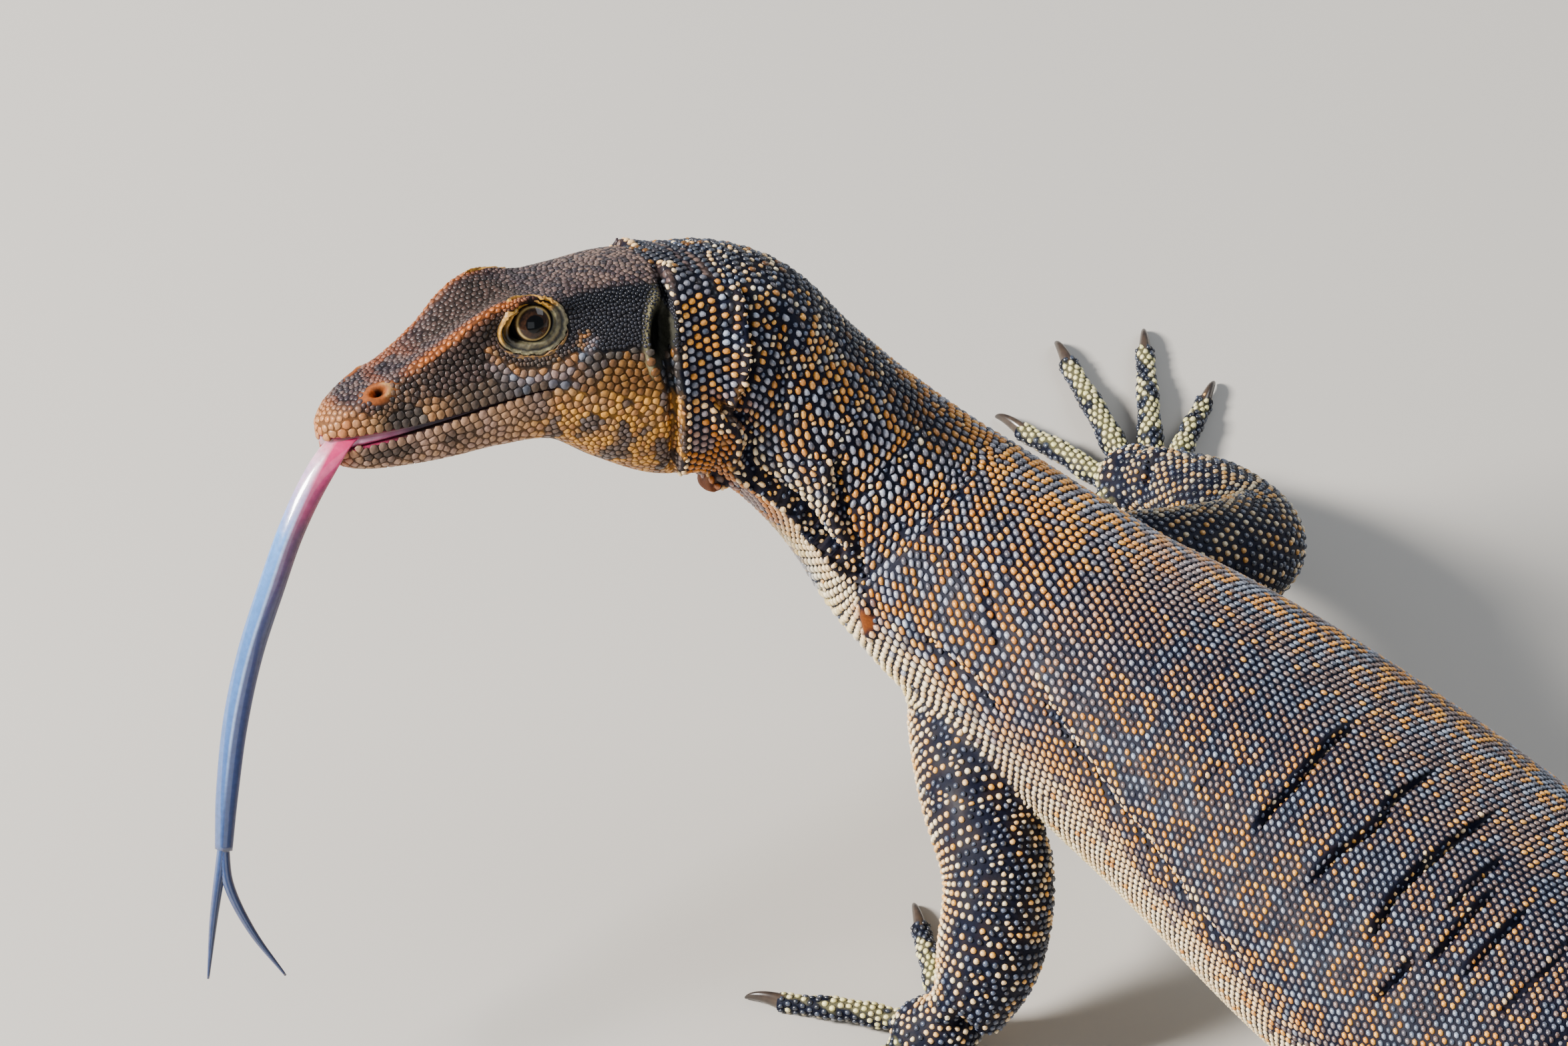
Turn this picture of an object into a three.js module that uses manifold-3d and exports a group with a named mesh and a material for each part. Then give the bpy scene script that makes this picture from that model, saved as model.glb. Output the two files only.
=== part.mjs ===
// Water monitor lizard, standing still with its neck raised, its head turned to its left
// and its forked tongue hanging out. Millimetres, +Z up, head towards -X, its left side
// towards -Y. The feet and the tail rest on the floor at z = 0.

import * as THREE from 'three';
import Module from 'manifold-3d';
import { mergeVertices } from 'three/addons/utils/BufferGeometryUtils.js';

const wasm = await Module();
wasm.setup();

// Driving dimensions

const GAP = 0.3;
const BODY_SIDES = 28;
const LIMB_SIDES = 12;
const DIGIT_SIDES = 7;

// Head: the tip of the snout, the way the head faces, and its lean to one side
const SNOUT_TIP = [16.2, -145.2, 139];
const HEAD_FORWARD = [-0.2553, -0.9601, 0.1137];
const HEAD_UP = [-0.3731, 0.2063, 0.9045];
const HEAD_LENGTH = 86;
const HEAD_AXIS_DROP = 5;
const SNOUT_START = 1.8;
const SNOUT_ROUNDING = 4.5;
const SNOUT_NARROWEST = 0.12;
const SNOUT_MIDDLE = -1.6;
const HEAD_ROLL = 24;

// Mouth: where its corner lies, how far the jaws are apart at the front, and the hinge cut
const MOUTH_CORNER = 52;
const MOUTH_OPENING = 3.4;
const HINGE_DEPTH = 42;
const HINGE_SLANT = 4;
const JAW_SETBACK = 3.6;
const JAW_CLOSING = 1.5;
const JAW_CUT_START = -4;
const JAW_CUT_HALF = 40;
const LIP_STEPS = [6, 12, 20, 28, 36, 44];

// Eye: its place on the head, the ball, and the two rings of lid round it
const EYE = { back: 49.2, side: 8.7, up: 15, radius: 5, out: [-0.16, 0.97, 0.16] };
const LIDS = [
  { ring: 4.8, thick: 0.75, out: 3.1, length: 1.06, height: 0.94 },
  { ring: 6.3, thick: 0.7, out: 2.2, length: 1.1, height: 0.88 },
];
// Nostril and ear: their place, the way they face, their size and how far they turn, degrees
const NOSTRIL = {
  back: 13, side: 6.9, up: 6.8, out: [-0.25, 0.85, 0.45], length: 1.9, height: 1.4, depth: 2.6, turn: 20,
  bulb: 2.9, bulbSide: 4.8, bulbUp: 5.7,
};
const EAR = {
  back: 76, side: 17, up: 8.4, out: [0.12, 1, 0.1], width: 2.3, height: 6.4, depth: 3.6, turn: 12,
  rim: 1.1, rimWidth: 2.8,
};

// Rails of the head: distance back from the snout, then half-width and height, millimetres
const CROWN = [[0, 0, 2.4], [4, 0, 4], [9.5, 0, 6.4], [19, 0, 9.6], [28, 0, 13.2], [36, 0, 16.8],
  [45, 0, 19.3], [55, 0, 20.6], [70, 0, 22], [86, 0, 20.5]];
const BROW = [[0, 2.6, 2.8], [4, 3.2, 3.5], [9.5, 4.9, 5.7], [19, 6.6, 9.1], [29, 8.2, 14.2],
  [36, 10.2, 18.8], [42, 11.4, 21.3], [47, 12, 21.1], [53, 11.8, 19.8], [62, 11, 20],
  [74, 12.4, 19.6], [86, 14.4, 17]];
const TEMPLE = [[0, 4.2, 1.2], [4, 5, 1.8], [9.5, 7.0, 4.2], [19, 8.8, 5.2], [29, 9.9, 8.2],
  [37, 10.6, 12.4], [44, 11.2, 14.8], [52, 12.2, 14.6], [62, 14.2, 13.4], [74, 16.4, 11.6], [86, 18.2, 8]];
const CHEEK = [[0, 4.8, -0.4], [4, 5.6, 0], [9.5, 7.7, 1], [19, 9.3, 1.6], [29, 10.8, 2.8],
  [40, 12.3, 5], [50, 13.7, 6.6], [62, 16, 6], [74, 17.6, 4.4], [86, 19.2, 0]];
const LIP = [[0, 4.8, -2.4], [4, 5.5, -2.4], [9.5, 7.5, -2.3], [19, 9.4, -2], [29, 10.9, -1.3],
  [40, 12.6, 0], [52, 14.3, 0.6], [62, 16, -2], [74, 17.6, -4.5], [86, 19, -8]];
const JAW = [[0, 4, -6], [4, 4.8, -6.4], [9.5, 6.9, -7.2], [19, 8.6, -7.6], [29, 9.9, -7.4],
  [40, 11.2, -6.8], [52, 13.2, -7], [62, 14.6, -12], [74, 15.4, -17], [86, 16, -19]];
const JAW_EDGE = [[0, 2.4, -8], [4, 3, -8.9], [9.5, 4.9, -10.6], [19, 6.4, -11.5], [29, 7.6, -11.6],
  [40, 8.6, -11.2], [52, 9.9, -12.2], [62, 10.2, -18.6], [74, 9.8, -25], [86, 9, -28]];
const CHIN = [[0, 0, -8.4], [4, 0, -9.6], [9.5, 0, -11.6], [19, 0, -12.7], [29, 0, -12.9],
  [40, 0, -12.8], [52, 0, -14], [62, 0, -20.4], [74, 0, -27], [86, 0, -29.5]];
const HEAD_STATIONS = [1.8, 2.1, 2.8, 4, 6, 8.5, 11.5, 15, 19, 23.5, 28, 32, 36, 39.5, 43, 46.5, 50,
  54, 58.5, 63.5, 69, 74.5, 80, 86];

// Body: x, y, z of its middle line, half-width, rise above it, drop below it, fullness of the
// back and of the belly (2 is an ellipse, more is squarer) and the lean of the left side, degrees
const BODY = [
  [34.7, -83.1, 127.0, 18.5, 24, 21, 2, 2, HEAD_ROLL],
  [39.8, -64.0, 124.7, 19.5, 24.5, 24.5, 2, 2, HEAD_ROLL],
  [45.2, -52.0, 120.3, 20.5, 22.8, 24.5, 2, 2, 21],
  [54.0, -42.6, 108.2, 21.5, 21, 22.5, 2, 2, 16],
  [64.5, -33.6, 92.6, 23.5, 22, 22.5, 2, 2, 13],
  [81.0, -26.4, 78.6, 27.5, 25.5, 26, 2, 2.2, 10],
  [116.8, -19.5, 70.0, 31.8, 28.5, 29, 2, 2.4, 8],
  [165.9, -11.5, 65.0, 38.8, 31, 31, 2, 2.5, 5],
  [220.7, -7.3, 60.0, 44.5, 31, 31, 2, 2.5, 2],
  [290.0, -2.0, 56.0, 44, 29, 30, 2, 2.5, 0],
  [350.0, 3.5, 52.5, 37, 27, 28, 2, 2.4, 0],
  [400.0, 6.0, 48.5, 27, 24, 23, 2, 2.2, 0],
  [440.0, 5.5, 40.0, 19.5, 20.5, 18.5, 1.9, 2.2, 0],
  [500.0, 0.5, 26.0, 14.5, 17, 15.5, 1.7, 2.2, 0],
  [560.0, -8.0, 12.6, 11.8, 16, 14.2, 1.6, 2.2, 0],
  [640.0, -24.0, 11.2, 10.2, 15, 12.8, 1.5, 2.2, 0],
  [740.0, -42.0, 9.8, 8.8, 13.6, 11.3, 1.5, 2.2, 0],
  [850.0, -42.0, 8.4, 7.2, 11.6, 9.7, 1.5, 2.2, 0],
  [950.0, -20.0, 6.9, 5.7, 9.4, 8, 1.5, 2.2, 0],
  [1050.0, 12.0, 5.1, 4.1, 7, 6, 1.5, 2.2, 0],
  [1130.0, 30.0, 3.5, 2.8, 4.8, 4.2, 1.5, 2.2, 0],
  [1196.0, 32.0, 2.0, 1.5, 2.7, 2.4, 1.6, 2.2, 0],
  [1206.0, 31.0, 1.3, 0.6, 1.1, 1.6, 2, 2, 0],
];
const NECK_BLEND = 26;

// Tongue: its middle line, half-width, half-thickness, and how far its back has turned from
// the head's way up, 0, to the left, 1; then its two tines
const TONGUE_FACE = [0.55, -0.77, 0.32];
const TONGUE = [
  [23.0, -126.0, 137.0, 3.0, 1.0, 0],
  [22.4, -133.5, 137.2, 3.1, 1.1, 0],
  [22.0, -140.4, 136.4, 3.1, 1.3, 0.25],
  [22.9, -148.4, 131.0, 3.0, 1.6, 0.8],
  [25.0, -157.2, 122.5, 2.9, 1.8, 1],
  [27.4, -164.8, 112.5, 2.9, 1.8, 1],
  [30.0, -173.4, 99.0, 2.85, 1.8, 1],
  [34.0, -181.1, 86.0, 2.8, 1.75, 1],
  [39.4, -188.2, 72.5, 2.5, 1.6, 1],
  [43.6, -192.8, 62.5, 2.0, 1.3, 1],
];
const TINE_NEAR = [
  [42.4, -191.6, 65.5, 1.1, 1.0, 1],
  [44.6, -194.6, 59.0, 1.2, 1.05, 1],
  [48.2, -199.8, 48.5, 0.9, 0.8, 1],
  [52.8, -205.3, 38.0, 0.28, 0.28, 1],
];
const TINE_FAR = [
  [42.8, -192.0, 64.5, 1.1, 1.0, 1],
  [47.2, -194.6, 56.0, 1.2, 1.05, 1],
  [54.4, -194.4, 47.0, 0.9, 0.8, 1],
  [62.7, -192.0, 38.0, 0.28, 0.28, 1],
];
const TONGUE_SIDES = 8;
const TINE_SIDES = 6;

// Legs: shoulder or hip, middle of the upper leg, elbow or knee, middle of the lower leg,
// and wrist or ankle, each with its radius
const FORELEG_LEFT = {
  upper: 'upper_arm_left', lower: 'forearm_left', foot: 'hand_left',
  path: [[93, -25, 62, 13], [107, -38.5, 57, 12.6], [124.5, -50.5, 51, 12.2], [141, -58, 41, 11.8],
    [147.5, -66, 26, 11.2], [148, -72.5, 13, 8]],
  bend: 3,
  palm: { at: [142.6, -77.8, 6], length: 15, width: 9.5, height: 6.6, facing: 55, step: 3.8 },
  digits: [
    { heading: -29, reach: 27, radius: 2.4 },
    { heading: 35, reach: 34, radius: 2.4 },
    { heading: 78, reach: 40, radius: 2.5 },
    { heading: 100, reach: 40, radius: 2.4 },
    { heading: 130, reach: 28, radius: 2.3 },
  ],
};
const FORELEG_RIGHT = {
  upper: 'upper_arm_right', lower: 'forearm_right', foot: 'hand_right',
  path: [[90, -4, 54, 13], [96, 18, 48, 13.2], [99, 41, 39, 12.8], [93.5, 57.5, 29, 12],
    [74, 64.5, 20, 11], [56, 66.5, 12.5, 8]],
  bend: 3,
  palm: { at: [45.4, 66.6, 6], length: 15, width: 9.5, height: 6.6, facing: 20, step: 3.8 },
  digits: [
    { heading: -46, reach: 25, radius: 2.4 },
    { heading: -7, reach: 31, radius: 2.4 },
    { heading: 20, reach: 44, radius: 2.5 },
    { heading: 39, reach: 44, radius: 2.4 },
    { heading: 59, reach: 28, radius: 2.3 },
  ],
};
const HINDLEG_LEFT = {
  upper: 'thigh_left', lower: 'shin_left', foot: 'foot_left',
  path: [[398, -8, 46, 19], [386, -32, 48, 18.5], [372, -56, 50, 16.5], [364, -76, 48, 14.5],
    [374, -93, 34, 12.8], [390, -108, 17, 9.6]],
  bend: 3,
  palm: { at: [384, -118, 6.4], length: 21, width: 11, height: 7.2, facing: 45, step: 3.8 },
  digits: [
    { heading: 14, reach: 35, radius: 2.6 },
    { heading: 31, reach: 46, radius: 2.9 },
    { heading: 47, reach: 56, radius: 3 },
    { heading: 62, reach: 62, radius: 2.9 },
    { heading: 108, reach: 36, radius: 2.6 },
  ],
};
const HINDLEG_RIGHT = {
  upper: 'thigh_right', lower: 'shin_right', foot: 'foot_right',
  path: [[400, 20, 45, 19], [403, 42, 47, 18.5], [408, 63, 48, 16.5], [416, 82, 44, 14.5],
    [434, 94, 30, 12.8], [450, 99, 16, 9.6]],
  bend: 3,
  palm: { at: [446, 110, 6.4], length: 21, width: 11, height: 7.2, facing: 62, step: 3.8 },
  digits: [
    { heading: 31, reach: 35, radius: 2.6 },
    { heading: 48, reach: 46, radius: 2.9 },
    { heading: 64, reach: 56, radius: 3 },
    { heading: 79, reach: 62, radius: 2.9 },
    { heading: 122, reach: 36, radius: 2.6 },
  ],
};
const THUMB_SETBACK = 3.6;
const PALM_SHARE = 0.62;

// The stump that joins the leg to the palm: where its middle lies and how its radius falls off
const STUMP = { middle: 0.45, middleRadius: 0.98, endRadius: 0.9 };

// A digit from root to tip: share of its reach, height of its middle and radius in digit radii
const DIGIT_SHAPE = [[0.3, 1.4, 1.2], [0.6, 1.35, 1], [0.85, 0.84, 0.9], [1, 0.7, 0.82]];
const DIGIT_ROOT = { lift: 1, radius: 1.3 };

// A claw in digit radii: its reach, how high it arches near its root and before its tip, its
// thickness at the root and the tip, and how it tapers
const CLAW = {
  reach: 3.2, start: 0.4, startRise: 0.4, bend: 0.93, bendRise: 0.3, tipHeight: 0.5,
  root: 0.76, tip: 0.07, taper: 0.7, narrow: 0.75, sides: 6, steps: 4,
};

// Distances between rings, millimetres
const RING_STEP = {
  neck: 7.5, neckStart: 5, torsoFront: 11, torsoRear: 15, tailBase: 15, tail: 18, tailTip: 16,
  trunkRoom: 9, leg: 7, stump: 5, digit: 9,
};

// Finishes

const FINISH = {
  hide: { color: 0x2a2620, roughness: 0.5 },
  head: { color: 0x4a3a30, roughness: 0.45 },
  lips: { color: 0xa9713d, roughness: 0.45 },
  eye: { color: 0x16100c, roughness: 0.08 },
  tongue: { color: 0x5a6a8c, roughness: 0.25 },
  claw: { color: 0x2b2420, roughness: 0.35 },
};

const vector = (a) => new THREE.Vector3(a[0], a[1], a[2]);
const UP = vector([0, 0, 1]);
const model = new THREE.Group();

// Closed meshes and their joins

// A closed mesh from points and triangles, its faces turned outwards
function closed(points, triangles) {
  let volume = 0;
  for (let i = 0; i < triangles.length; i += 3) {
    const [a, b, c] = [points[triangles[i]], points[triangles[i + 1]], points[triangles[i + 2]]];
    volume += a.dot(new THREE.Vector3().crossVectors(b, c));
  }
  const index = volume > 0 ? triangles : triangles.slice().reverse();
  const geometry = new THREE.BufferGeometry();
  geometry.setAttribute('position', new THREE.Float32BufferAttribute(points.flatMap((p) => p.toArray()), 3));
  geometry.setIndex(index);
  return geometry;
}

// A standard shape whose every point is moved by a function, as a closed mesh
function moved(shape, move) {
  shape.deleteAttribute('normal');
  shape.deleteAttribute('uv');
  const merged = mergeVertices(shape, 1e-4);
  const spots = merged.getAttribute('position');
  const points = [];
  for (let i = 0; i < spots.count; i += 1) {
    points.push(move(new THREE.Vector3().fromBufferAttribute(spots, i)));
  }
  return closed(points, Array.from(merged.index.array));
}

// Skin stretched over rings of equal count, closed by a fan at each end
function loft(rings) {
  const count = rings[0].length;
  const points = rings.flat();
  const triangles = [];
  for (let i = 0; i < rings.length - 1; i += 1) {
    for (let j = 0; j < count; j += 1) {
      const a = i * count + j;
      const b = i * count + ((j + 1) % count);
      triangles.push(a, b, b + count, a, b + count, a + count);
    }
  }
  for (const [start, flip] of [[0, true], [(rings.length - 1) * count, false]]) {
    const middle = points.length;
    const centre = new THREE.Vector3();
    for (let j = 0; j < count; j += 1) centre.add(points[start + j]);
    points.push(centre.divideScalar(count));
    for (let j = 0; j < count; j += 1) {
      const a = start + j;
      const b = start + ((j + 1) % count);
      triangles.push(...(flip ? [b, a, middle] : [a, b, middle]));
    }
  }
  return closed(points, triangles);
}

// A solid that can be joined or cut, from a closed mesh
function solid(geometry) {
  return new wasm.Manifold(new wasm.Mesh({
    numProp: 3,
    vertProperties: Float32Array.from(geometry.getAttribute('position').array),
    triVerts: Uint32Array.from(geometry.index.array),
  }));
}

// The largest closed surface of a solid, as a mesh
function largest(body) {
  const pieces = body.decompose().sort((a, b) => b.volume() - a.volume());
  const mesh = pieces[0].getMesh();
  const geometry = new THREE.BufferGeometry();
  const places = Float32Array.from(mesh.vertProperties);
  geometry.setAttribute('position', new THREE.BufferAttribute(places, 3));
  geometry.setIndex(Array.from(mesh.triVerts));
  return geometry;
}

function add(name, geometry, finish) {
  const material = new THREE.MeshStandardMaterial({ metalness: 0, ...FINISH[finish] });
  const mesh = new THREE.Mesh(geometry, material);
  mesh.name = name;
  model.add(mesh);
}

// Smooth lines through stations

// The value of each column of a table at a place, the first column being the place
function along(table, place) {
  const last = table.length - 1;
  let i = 0;
  while (i < last - 1 && place > table[i + 1][0]) i += 1;
  const [a, b] = [table[i], table[i + 1]];
  const before = table[Math.max(i - 1, 0)];
  const after = table[Math.min(i + 2, last)];
  const span = b[0] - a[0];
  const t = THREE.MathUtils.clamp((place - a[0]) / span, 0, 1);
  const blend = t * t * (3 - 2 * t);
  return a.slice(1).map((_, k) => {
    const c = k + 1;
    const slopeA = (b[c] - before[c]) / (b[0] - before[0]);
    const slopeB = (after[c] - a[c]) / (after[0] - a[0]);
    const bulge = span * t * (1 - t) * ((1 - t) * slopeA - t * slopeB);
    return (1 - blend) * a[c] + blend * b[c] + bulge;
  });
}

// Stations with their distance along the line put first
function measured(rows) {
  let distance = 0;
  return rows.map((row, i) => {
    if (i > 0) distance += vector(row).distanceTo(vector(rows[i - 1]));
    return [distance, ...row];
  });
}

// Point, direction and sizes of a measured line at a distance
function station(line, distance) {
  const here = along(line, distance);
  const step = 0.5;
  const ahead = vector(along(line, distance + step));
  const behind = vector(along(line, distance - step));
  const direction = ahead.sub(behind).normalize();
  return { point: vector(here), direction, sizes: here.slice(3) };
}

const SPINE = measured(BODY);
const REACH = SPINE.map((row) => row[0]);
const HEAD_END = REACH[1];
const TAIL_TIP = REACH[REACH.length - 1];

// Head

const snout = vector(SNOUT_TIP);
const forward = vector(HEAD_FORWARD).normalize();
const left = new THREE.Vector3().crossVectors(vector(HEAD_UP), forward).normalize();
const upward = new THREE.Vector3().crossVectors(forward, left);

// A point of the head from its distance back, to the left and up
function headPoint(back, side, up) {
  return snout.clone()
    .addScaledVector(forward, -back)
    .addScaledVector(left, side)
    .addScaledVector(upward, up);
}

// A direction from its parts back, to the left and up
function headFacing([back, side, up]) {
  return new THREE.Vector3()
    .addScaledVector(forward, -back)
    .addScaledVector(left, side)
    .addScaledVector(upward, up)
    .normalize();
}

// Half-width and height of the head all round its section at a distance back
function headSection(back) {
  const rails = [CROWN, BROW, TEMPLE, CHEEK, LIP, JAW, JAW_EDGE, CHIN].map((rail) => along(rail, back));
  const mirror = rails.slice(1, -1).reverse().map(([side, up]) => [-side, up]);
  const outline = [...rails, ...mirror].map(([side, up]) => new THREE.Vector3(side, up, 0));
  const curve = new THREE.CatmullRomCurve3(outline, true, 'catmullrom', 0.5);
  const near = THREE.MathUtils.clamp((back - SNOUT_START) / SNOUT_ROUNDING, 0, 1);
  const fill = Math.max(SNOUT_NARROWEST, Math.sqrt(1 - (1 - near) ** 2));
  return Array.from({ length: BODY_SIDES }, (_, k) => {
    const p = curve.getPoint(k / BODY_SIDES);
    return [p.x * fill, SNOUT_MIDDLE + (p.y - SNOUT_MIDDLE) * fill];
  });
}

function headRing(back) {
  return headSection(back).map(([side, up]) => headPoint(back, side, up));
}

// A prism across the head from its outline of distances back and heights
function headPrism(outline) {
  const shape = new THREE.Shape(outline.map(([back, up]) => new THREE.Vector2(back, up)));
  const prism = new THREE.ExtrudeGeometry(shape, { depth: JAW_CUT_HALF * 2, bevelEnabled: false });
  return solid(moved(prism, (p) => headPoint(p.x, p.z - JAW_CUT_HALF, p.y)));
}

// The line of the upper lip, and of the lower lip under it, at a distance back
const lipHeight = (back) => along(LIP, back)[1];
function lowerLipHeight(back) {
  const open = Math.max(0, 1 - back / MOUTH_CORNER);
  return lipHeight(back) - GAP - MOUTH_OPENING * open ** JAW_CLOSING;
}

// A solid shape set on the head and turned to face outwards there
function seatOnHead(shape, place, facing, stretch) {
  const rise = upward.clone().addScaledVector(facing, -upward.dot(facing)).normalize();
  const run = new THREE.Vector3().crossVectors(rise, facing);
  const turn = THREE.MathUtils.degToRad(stretch.turn ?? 0);
  return solid(moved(shape, (p) => {
    const x = p.x * stretch.length;
    const y = p.y * stretch.height;
    return place.clone()
      .addScaledVector(run, x * Math.cos(turn) - y * Math.sin(turn))
      .addScaledVector(rise, x * Math.sin(turn) + y * Math.cos(turn))
      .addScaledVector(facing, p.z * (stretch.depth ?? 1));
  }));
}

// Tongue

// A tube of oval section along a line, its back turning from the head's way up to the left
function ovalTube(rows, sides, grow) {
  const line = measured(rows);
  const end = line[line.length - 1][0];
  const steps = (rows.length - 1) * 2;
  const rings = [];
  for (let i = 0; i <= steps; i += 1) {
    const { point, direction, sizes } = station(line, (end * i) / steps);
    const face = upward.clone().lerp(vector(TONGUE_FACE), sizes[2]);
    const side = new THREE.Vector3().crossVectors(direction, face).normalize();
    const rise = new THREE.Vector3().crossVectors(side, direction);
    rings.push(Array.from({ length: sides }, (_, j) => {
      const angle = (2 * Math.PI * j) / sides;
      return point.clone()
        .addScaledVector(side, (sizes[0] + grow) * Math.cos(angle))
        .addScaledVector(rise, (sizes[1] + grow) * Math.sin(angle));
    }));
  }
  return solid(loft(rings));
}

function buildTongue() {
  const stem = ovalTube(TONGUE, TONGUE_SIDES, 0);
  const near = ovalTube(TINE_NEAR, TINE_SIDES, 0);
  const far = ovalTube(TINE_FAR, TINE_SIDES, 0);
  add('tongue', largest(stem.add(near).add(far)), 'tongue');
}

// The skull with lids, sockets, nostrils and ears, and the eyeballs in it
function buildFeatures(skull, side) {
  const mirrored = (out) => headFacing([out[0], out[1] * side, out[2]]);
  const ball = headPoint(EYE.back, EYE.side * side, EYE.up);
  const look = mirrored(EYE.out);
  let made = skull;
  for (const lid of LIDS) {
    const ring = new THREE.TorusGeometry(lid.ring, lid.thick, 4, 14);
    const place = ball.clone().addScaledVector(look, lid.out);
    made = made.add(seatOnHead(ring, place, look, { length: lid.length, height: lid.height }));
  }
  const socket = new THREE.SphereGeometry(EYE.radius + GAP, 12, 8);
  made = made.subtract(solid(moved(socket, (p) => p.add(ball))));
  const eyeball = new THREE.SphereGeometry(EYE.radius, 12, 8);
  add(side > 0 ? 'eye_left' : 'eye_right', moved(eyeball, (p) => p.add(ball)), 'eye');

  const bulb = new THREE.SphereGeometry(NOSTRIL.bulb, 10, 7);
  const bulbPlace = headPoint(NOSTRIL.back, NOSTRIL.bulbSide * side, NOSTRIL.bulbUp);
  made = made.add(solid(moved(bulb, (p) => p.add(bulbPlace))));
  const opening = new THREE.SphereGeometry(1, 10, 6);
  const nose = headPoint(NOSTRIL.back, NOSTRIL.side * side, NOSTRIL.up);
  made = made.subtract(seatOnHead(opening, nose, mirrored(NOSTRIL.out), {
    length: NOSTRIL.length, height: NOSTRIL.height, depth: NOSTRIL.depth, turn: NOSTRIL.turn * side,
  }));

  const ear = headPoint(EAR.back, EAR.side * side, EAR.up);
  const earOut = mirrored(EAR.out);
  const rim = new THREE.TorusGeometry(EAR.height, EAR.rim, 4, 12);
  const drum = new THREE.SphereGeometry(1, 8, 6);
  made = made.add(seatOnHead(rim, ear, earOut, {
    length: EAR.rimWidth / EAR.height, height: 1, turn: EAR.turn * side,
  }));
  return made.subtract(seatOnHead(drum, ear, earOut, {
    length: EAR.width, height: EAR.height, depth: EAR.depth, turn: EAR.turn * side,
  }));
}

function buildHead() {
  const whole = solid(loft(HEAD_STATIONS.map(headRing)));
  const hinge = [MOUTH_CORNER + HINGE_SLANT, -HINGE_DEPTH];
  const upperSteps = [JAW_CUT_START, 0, ...LIP_STEPS, MOUTH_CORNER];
  const below = headPrism([
    ...upperSteps.map((back) => [back, lipHeight(back)]), hinge, [JAW_CUT_START, -HINGE_DEPTH]]);
  const lowerSteps = [JAW_SETBACK, ...LIP_STEPS, MOUTH_CORNER - GAP];
  const jawRoom = headPrism([
    ...lowerSteps.map((back) => [back, lowerLipHeight(back)]),
    [hinge[0] - GAP, hinge[1]], [JAW_SETBACK, -HINGE_DEPTH]]);
  const mouthPath = ovalTube(TONGUE, TONGUE_SIDES, GAP);
  const skull = [1, -1].reduce(buildFeatures, whole.subtract(below));
  add('head', largest(skull.subtract(mouthPath)), 'head');
  add('lower_jaw', largest(whole.intersect(jawRoom).subtract(mouthPath)), 'lips');
}

// Neck, torso and tail

// Frame of the body at a distance along the spine
function bodyFrame(distance) {
  const { point, direction, sizes } = station(SPINE, distance);
  const level = UP.clone().addScaledVector(direction, -UP.dot(direction)).normalize();
  const across = new THREE.Vector3().crossVectors(direction, level);
  const lean = THREE.MathUtils.degToRad(sizes[5]);
  return {
    point,
    direction,
    sizes,
    left: across.clone().multiplyScalar(Math.cos(lean)).addScaledVector(level, Math.sin(lean)),
    up: level.clone().multiplyScalar(Math.cos(lean)).addScaledVector(across, -Math.sin(lean)),
  };
}

// Ring of the body at a distance, a little further on, and grown all round
function bodyRing(distance, shift = 0, grow = 0) {
  const frame = bodyFrame(distance);
  const [width, rise, drop, backFull, bellyFull] = frame.sizes;
  const share = THREE.MathUtils.clamp((distance - HEAD_END) / NECK_BLEND, 0, 1);
  const blend = share * share * (3 - 2 * share);
  const nape = headSection(HEAD_LENGTH);
  return Array.from({ length: BODY_SIDES }, (_, j) => {
    const angle = (2 * Math.PI * j) / BODY_SIDES;
    const [sine, cosine] = [Math.sin(angle), Math.cos(angle)];
    const full = 2 / (cosine > 0 ? backFull : bellyFull);
    const side = Math.sign(sine) * Math.abs(sine) ** full * (width + grow);
    const up = Math.sign(cosine) * Math.abs(cosine) ** full * ((cosine > 0 ? rise : drop) + grow);
    const y = THREE.MathUtils.lerp(nape[j][0], side, blend);
    const z = THREE.MathUtils.lerp(nape[j][1] + HEAD_AXIS_DROP, up, blend);
    const p = frame.point.clone()
      .addScaledVector(frame.left, y)
      .addScaledVector(frame.up, z)
      .addScaledVector(frame.direction, shift);
    p.z = Math.max(p.z, 0);
    return p;
  });
}

// Distances from one place on the spine to another in steps of about one length
function steps(from, to, length) {
  const count = Math.max(2, Math.round((to - from) / length));
  return Array.from({ length: count + 1 }, (_, i) => from + ((to - from) * i) / count);
}

// A length of the body between two planes, half a gap short at both ends
function bodyLength(from, to, length, every = 1) {
  const places = steps(from, to, length);
  const last = places.length - 1;
  return loft(places.map((d, i) => {
    const shift = i === 0 ? GAP / 2 : (i === last ? -GAP / 2 : 0);
    return bodyRing(d, shift).filter((_, j) => j % every === 0);
  }));
}

function buildNeck() {
  const behindHead = headRing(HEAD_LENGTH).map((p) => p.addScaledVector(forward, -GAP));
  const places = steps(HEAD_END + RING_STEP.neckStart, REACH[5], RING_STEP.neck);
  const last = places.length - 1;
  add('neck', loft([behindHead, ...places.map((d, i) => bodyRing(d, i === last ? -GAP / 2 : 0))]), 'hide');
}

function buildTrunkAndTail() {
  add('torso_front', bodyLength(REACH[5], REACH[8], RING_STEP.torsoFront), 'hide');
  add('torso_rear', bodyLength(REACH[8], REACH[12], RING_STEP.torsoRear), 'hide');
  add('tail_base', bodyLength(REACH[12], REACH[15], RING_STEP.tailBase, 2), 'hide');
  add('tail_middle', bodyLength(REACH[15], REACH[17], RING_STEP.tail, 2), 'hide');
  add('tail_rear', bodyLength(REACH[17], REACH[19], RING_STEP.tail, 2), 'hide');
  add('tail_tip', bodyLength(REACH[19], TAIL_TIP, RING_STEP.tailTip, 2), 'hide');
}

// The trunk grown by the gap, which the legs are cut back to
function grownTrunk() {
  return solid(loft(steps(REACH[4], REACH[13], RING_STEP.trunkRoom).map((d) => bodyRing(d, 0, GAP))));
}

// Legs

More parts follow.
